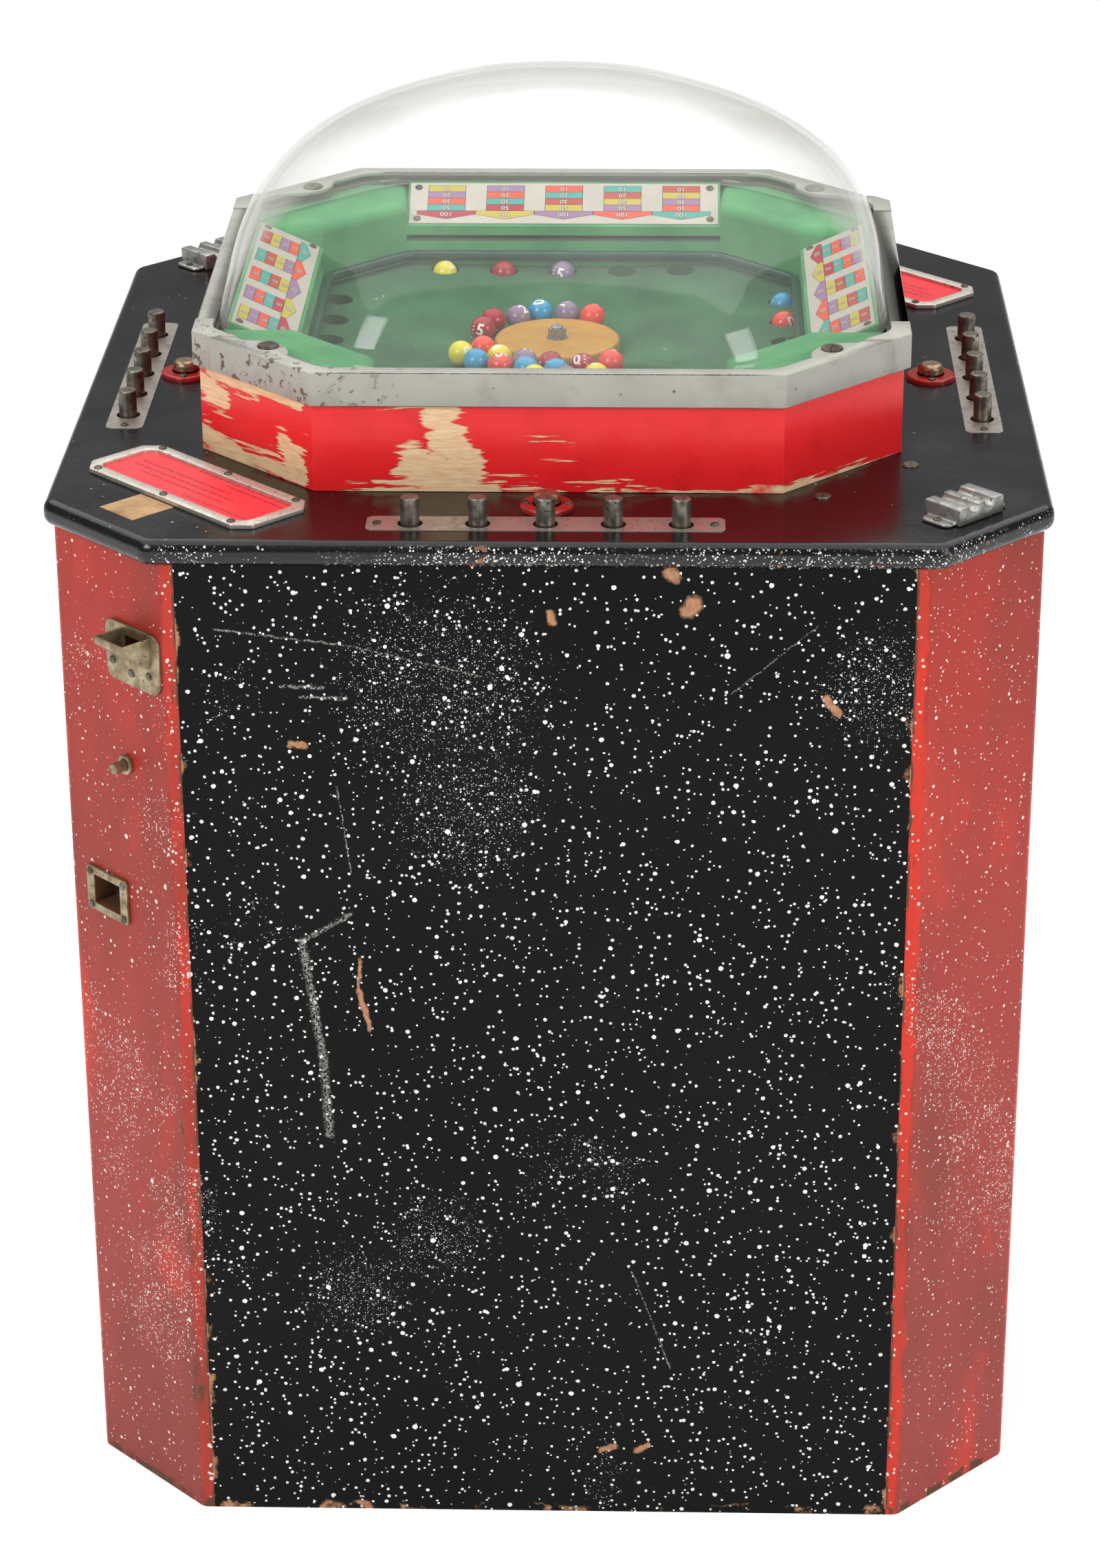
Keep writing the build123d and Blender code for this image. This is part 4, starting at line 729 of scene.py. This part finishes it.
LYING = ["coral", "mauve", "blue", "mauve", "crimson", "crimson", "coral", "yellow", "blue", "yellow",
         "coral", "mauve", "blue", "yellow", "crimson", "blue", "mauve", "crimson", "yellow", "coral"]
for i, colour in enumerate(RESINS):
    low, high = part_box(f"ball_{colour}")
    lay_ball(f"pocketed_ball_{colour}", (low + high) / 2, colour, i + 3, f"ball_{colour}", f"ball_{colour}")
lying = sorted(islands("loose_balls"), key=lambda c: math.atan2(c.y, c.x) % (2 * math.pi))
for i, (centre, colour) in enumerate(zip(lying, LYING)):
    lay_ball(f"loose_ball_{i + 1}", centre, colour, i, "loose_balls", "loose_balls")
for master in masters:
    bpy.data.objects.remove(master)
print("balls laid:", len(RESINS) + len(lying))

# %% [markdown]
# ## Score cards
#
# A printed card slopes down towards each row of pockets. It has a column for every pocket: four bars worth
# 10 to 50 and an arrow worth 100 that points at the pocket. The ink is flat, so each bar is a thin plate a
# tenth of a millimetre proud of the card, with a black line round it. The card is made once, flat on the
# floor, and copied to the four sides.

# %% Inks of the score cards
INKS = {"yellow": "#bfae38", "mauve": "#967196", "orange": "#de4c2a", "turquoise": "#40a091",
        "crimson": "#ad1b33", "brick": "#b63f2a", "black": "#211e1c", "white": "#d9d4c8"}
inks = {name: plain_finish(f"{name}_printing_ink", colour, 0.45, colour, Specular_IOR_Level=0.3)
        for name, colour in INKS.items()}
paper = plain_finish("glazed_white_card", "#beb7a9", 0.35, "#aea697", 40)
dress(["score_cards"], paper)
COLUMNS = [["yellow", "mauve", "orange", "turquoise", "crimson"],
           ["mauve", "orange", "turquoise", "crimson", "yellow"],
           ["orange", "turquoise", "brick", "yellow", "mauve"],
           ["turquoise", "brick", "yellow", "mauve", "orange"],
           ["brick", "yellow", "mauve", "orange", "turquoise"]]

# %% Where the front card lies
card_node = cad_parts["score_cards"]
corners = [card_node.data.vertices[i].co for face in card_node.data.polygons for i in face.vertices
           if face.normal.z > 0.7 and face.center.y < -0.19 and abs(face.center.x) < 0.13]
inner = max(c.y for c in corners)
outer = min(c.y for c in corners)
inner_z = min(c.z for c in corners)
outer_z = max(c.z for c in corners)
card_depth = math.hypot(inner - outer, outer_z - inner_z) / MM
down_slope = Vector((0, inner - outer, inner_z - outer_z)).normalized()
card_place = Matrix.Translation(((0, (inner + outer) / 2, (inner_z + outer_z) / 2))) @ Matrix((
    (1, 0, 0, 0), (0, down_slope.y, -down_slope.z, 0), (0, down_slope.z, down_slope.y, 0), (0, 0, 0, 1)))
print("score card depth, mm:", round(card_depth, 1))

# %% Bars, arrows and numbers of one card
PITCH, BAR_WIDTH, BAR_HEIGHT, BAR_MARGIN = 51.0, 32.0, 8.4, 3.5    # mm
ARROW_SIDE, ARROW_TIP, LINE, LIFT = 4.5, 10.3, 0.45, 0.08
SCORES = ("10", "20", "30", "50", "100")
SCORE_HEIGHT, SCORE_OUTLINE = 5.0, 0.35


def flat_shape(points, height):
    """A flat shape facing up, drawn by filling a ring of points, this many mm above the origin."""
    clear_selection()
    bpy.ops.mesh.primitive_circle_add(vertices=len(points), radius=MM, fill_type="NGON")
    shape = bpy.context.object
    for vertex, (x, y) in zip(shape.data.vertices, points):
        vertex.co = Vector((x, y, height)) * MM
    shape.data.update()
    if shape.data.polygons[0].normal.z < 0:
        shape.data.flip_normals()
    return shape


def printed(points, ink, layer):
    """A flat shape in one of the card's inks, this many layers above the card."""
    shape = flat_shape(points, layer * LIFT)
    shape.data.materials.append(inks[ink])
    return shape


def printed_number(words, x, y):
    """White figures over black ones with thicker strokes, which show round them as an outline."""
    shapes = []
    for ink, swell, layer in (("black", SCORE_OUTLINE, 3), ("white", 0.0, 4)):
        number = flat_text(words, SCORE_HEIGHT, swell)
        for vertex in number.data.vertices:
            vertex.co += Vector((x, y, layer * LIFT)) * MM
        number.data.materials.append(inks[ink])
        shapes.append(number)
    return shapes


shapes = []
for column, colours in enumerate(COLUMNS):
    x = (2 - column) * PITCH
    for row, (ink, words) in enumerate(zip(colours, SCORES)):
        y = BAR_MARGIN - card_depth / 2 + row * BAR_HEIGHT
        for layer, grow in ((1, LINE), (2, 0)):
            fill = "black" if layer == 1 else ink
            if row < len(SCORES) - 1:
                w = BAR_WIDTH / 2 + grow
                end = y + BAR_HEIGHT - (LINE if layer == 2 else 0)
                outline = [(x - w, y - grow), (x + w, y - grow), (x + w, end), (x - w, end)]
            else:
                w = PITCH / 2 - LINE + grow
                outline = [(x - w, y - grow), (x + w, y - grow), (x + w, y + ARROW_SIDE),
                           (x, y + ARROW_TIP + grow), (x - w, y + ARROW_SIDE)]
            shapes.append(printed(outline, fill, layer))
        shapes += printed_number(words, x, y + BAR_HEIGHT / 2)
card_print = joined(shapes)
print("printing on one card:", len(card_print.data.polygons), "faces")

# %% Copy the printing to the four sides
for k, side in enumerate(("front", "right", "rear", "left")):
    place = Matrix.Rotation(k * math.pi / 2, 4, "Z") @ card_place
    copy = placed(f"score_printing_{side}", card_print.data.copy(), place)
    named(copy, f"score_printing_{side}", None, "cabinet")
bpy.data.objects.remove(card_print)

# %% [markdown]
# ## Instruction cards and paper label
#
# Two corners hold a red card in a nickel frame. What was printed on them is not copied: rows of plain dashes
# stand for its lines. A blank square of brown paper is glued beside the front one. Both are in one part of
# the frame model, so the paper's colour is chosen by how far out along the corner a point lies.

# %% Red card and brown paper
material, tree, where = new_finish("faded_red_card_and_brown_paper")
LABEL_FROM = 419.5         # mm out along the corner, in the gap between the card and the label
outwards = Vector((-1, -1, 0)).normalized()
out = add(tree, "VectorMath", {0: where, 1: outwards}, operation="DOT_PRODUCT").outputs["Value"]
label = add(tree, "MapRange", {0: out, 1: LABEL_FROM * MM, 2: (LABEL_FROM + 0.2) * MM}).outputs[0]
stain = patches(tree, where, 24, 0.55, 0.15)
card_tone = patches(tree, where, 60, 0.5, 0.25)
browns = {0: stain, 6: linear("#b9966c"), 7: linear("#8d6a48")}
label_tone = add(tree, "Mix", browns, data_type="RGBA").outputs[2]
coat_over(tree, [(None, "#ea2f3b", 0.3), (card_tone, "#f0444a", 0.3), (label, label_tone, 0.85)],
          Specular_IOR_Level=0.4)
dress(["instruction_cards"], material)
dash_ink = plain_finish("dark_red_ink", "#b51f2b", 0.4, "#c32a35")
# Rows of dashes: each row's start, end and height on the card, in mm.
CARD_OUT = 383.0           # middle of the card, out along the corner
DASH_HIGH, DASH_GAP = 2.2, 1.6
ROWS = [(-26, 78, 24.0), (14, 78, 17.5), (-76, 30, 8.0), (-76, 44, 0.0), (-60, 40, -8.0), (4, 76, -18.0)]
card_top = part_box("instruction_cards")[1].z / MM
for corner_name, turn in (("front_left", -45), ("rear_right", 135)):
    dashes = []
    for start, end, y in ROWS:
        x, step = start, 0
        while x < end:
            right_end = x + 3.0 + (step * 7 % 5) * 1.6
            low, high = y - CARD_OUT, y - CARD_OUT + DASH_HIGH
            outline = [(x, low), (right_end, low), (right_end, high), (x, high)]
            dashes.append(flat_shape(outline, card_top + LIFT))
            x, step = right_end + DASH_GAP, step + 1
    lines = joined(dashes)
    lines.rotation_euler.z = math.radians(turn)
    named(lines, f"card_lines_{corner_name}", dash_ink)
print("dashes on each card:", len(dashes))

# %% [markdown]
# ## Worn edges
#
# A cast or pressed part never has a knife edge: light catches on a narrow rounding. Some of the frame's parts
# are right in shape but sharp. Each is copied, its loose triangles are merged into whole faces, and a Bevel
# modifier rounds the sharp edges by a fraction of a millimetre. The copy then stands for the original.

# %% Round the edges of castings and boards
SHARP = math.radians(35)   # edges that turn more than this are rounded


def eased(node, width):
    """A copy of one of the cabinet's parts with its sharp edges rounded by width mm, in its place."""
    piece = take(placed(f"eased_{node}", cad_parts[node].data.copy()))
    bpy.ops.mesh.customdata_custom_splitnormals_clear()
    bpy.ops.object.mode_set(mode="EDIT")
    bpy.ops.mesh.select_all(action="SELECT")
    bpy.ops.mesh.remove_doubles(threshold=2e-6)
    bpy.ops.mesh.dissolve_limited(angle_limit=math.radians(0.5))
    bpy.ops.object.mode_set(mode="OBJECT")
    rounding = piece.modifiers.new("rounding", "BEVEL")
    rounding.width, rounding.segments, rounding.limit_method = width * MM, 3, "ANGLE"
    rounding.angle_limit, rounding.use_clamp_overlap = SHARP, False
    bpy.ops.object.modifier_apply(modifier="rounding")
    bpy.ops.object.shade_smooth_by_angle(angle=SHARP)
    named(piece, f"eased_{node}", None)
    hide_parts(node)
    return piece


EASED = {"cigarette_rests": 1.4, "dome_frame": 1.0, "instruction_frames": 0.7, "coin_fittings": 0.5,
         "plinth": 0.8}
for node, width in EASED.items():
    piece = eased(node, width)
    print(piece.name, len(piece.data.polygons), "faces")

# %% [markdown]
# ## Light
#
# A large soft lamp above and to the left gives the broad shine on the bubble, a weaker one fills from the
# right, and a pale floor bounces light up the panels. The world is a dim grey, so that the lacquer has
# something dark to mirror and stays black.

# %% Floor and lamps
FLOOR_WIDTH = 40.0         # m
LAMPS_AIM_AT = Vector((0, 0, 0.6))
# For each lamp: where it hangs in metres, its width in metres and its power in watts.
LAMPS = {"key_lamp": ((-2.8, -3.6, 3.6), 2.2, 118), "fill_lamp": ((3.4, -3.0, 2.6), 2.2, 78),
         "sky_lamp": ((0, 1.0, 4.6), 8.0, 330)}
WORLD_STRENGTH = 0.6
clear_selection()
bpy.ops.mesh.primitive_plane_add(size=FLOOR_WIDTH, location=(0, 8, 0))
floor = bpy.context.object
floor.name = "floor"
material, tree, where = new_finish("matt_white_paper")
coat_over(tree, [(None, "#f7f7f6", 0.9)], Specular_IOR_Level=0.1, Emission_Color=linear("#ffffff"),
          Emission_Strength=0.35)
floor.data.materials.append(material)
for name, (at, size, power) in LAMPS.items():
    lamp = bpy.data.lights.new(name, "AREA")
    lamp.energy, lamp.size = power, size
    holder = placed(name, lamp, Matrix.Translation(at))
    holder.rotation_euler = (LAMPS_AIM_AT - Vector(at)).to_track_quat("-Z", "Y").to_euler()
world = bpy.data.worlds.new("studio")
bpy.context.scene.world = world
world.use_nodes = True
world.node_tree.nodes["Background"].inputs[0].default_value = linear("#a5a7a8")
world.node_tree.nodes["Background"].inputs[1].default_value = WORLD_STRENGTH
bpy.context.scene.view_settings.view_transform = "Standard"
